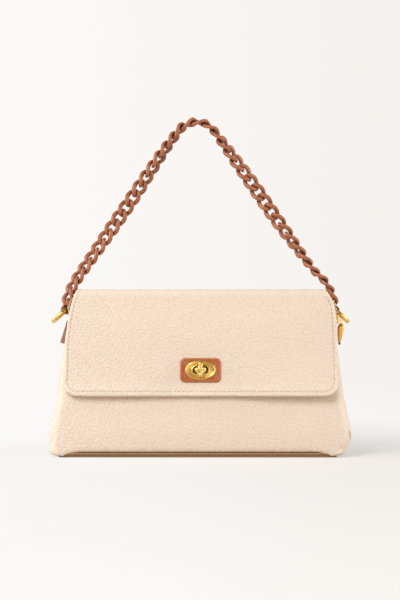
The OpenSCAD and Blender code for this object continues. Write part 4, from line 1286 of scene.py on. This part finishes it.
def make_world():
    """Soft light from above, dimmer from the front and below."""
    world = bpy.data.worlds.new("studio")
    bpy.context.scene.world = world
    look = Nodes(world, "OutputWorld")
    direction = look.split(look.add("TexCoord").outputs["Generated"])
    up = look.sum(look.product(direction["Z"], 0.5), 0.5)
    stops = [(0.3, (0.20, 0.185, 0.17)), (0.52, (0.28, 0.27, 0.255)), (0.66, 0.42), (0.85, 0.55)]
    level = look.ramp(up, stops)
    room = look.add("Background", {"Color": level, "Strength": 0.45})
    white = look.add("Background", {"Color": (0.95, 0.93, 0.91, 1), "Strength": 1.0})
    seen = look.add("LightPath").outputs["Is Camera Ray"]
    mixed = look.add("MixShader", {0: seen, 1: room.outputs[0], 2: white.outputs[0]})
    look.put(look.output, 0, mixed.outputs[0])


# Lamps: name, place, width, height, power and colour
LAMPS = [
    ("key", (-0.92, -1.42, 1.36), 1.0, 1.0, 28.9, (1.0, 0.985, 0.965)),
    ("fill", (0.8, -1.85, 0.45), 1.5, 1.1, 9.2, (1.0, 0.98, 0.96)),
    ("left strip", (-1.5, -0.05, 0.5), 0.3, 1.2, 12, (1, 1, 1)),
    ("right strip", (1.5, -0.05, 0.5), 0.3, 1.2, 13, (1, 1, 1)),
]
LAMP_TARGET = Vector((0, 0, 0.1))


def make_lamps():
    for name, place, width, height, power, colour in LAMPS:
        data = bpy.data.lights.new(name, "AREA")
        data.shape = "RECTANGLE"
        data.size, data.size_y = width, height
        data.energy = power
        data.color = colour
        lamp = add_object(name, data)
        lamp.location = place
        lamp.rotation_euler = (LAMP_TARGET - Vector(place)).to_track_quat("-Z", "Y").to_euler()


# The camera looks straight at the front. All but the sensor is in metres
CAMERA_X = -0.00045
CAMERA_DISTANCE = 1.6
PICTURE_HEIGHT = 0.5346  # how much of the bag's front plane the picture shows
PICTURE_MIDDLE = 0.1394  # how high the middle of the picture is
SENSOR = 36.0


def make_camera():
    data = bpy.data.cameras.new("camera")
    data.sensor_fit = "AUTO"
    data.sensor_width = SENSOR
    data.lens = SENSOR * CAMERA_DISTANCE / PICTURE_HEIGHT
    data.clip_end = 20
    camera = add_object("camera", data)
    face = -0.5 * (lean_depth(FLAP_LOW_Z) + lean_depth(BEND_Z)) * MM
    camera.location = (CAMERA_X, face - CAMERA_DISTANCE, PICTURE_MIDDLE)
    camera.rotation_euler = (math.radians(90), 0, 0)
    bpy.context.scene.camera = camera


make_walls()
make_base()
make_lining()
make_pocket()
make_flap()
make_flap_stitches()
make_hinge_strip()
make_patch()
make_plate()
make_boss()
make_knob()
make_chain()
for sign, end, half in ((-1, "left", "front"), (1, "right", "back")):
    make_ring_tab(end, sign)
    make_zip_tape(half, sign)
make_end_tab()
make_pull()
finish_cad()
make_floor()
make_world()
make_lamps()
make_camera()
bpy.context.scene.view_settings.view_transform = "Standard"
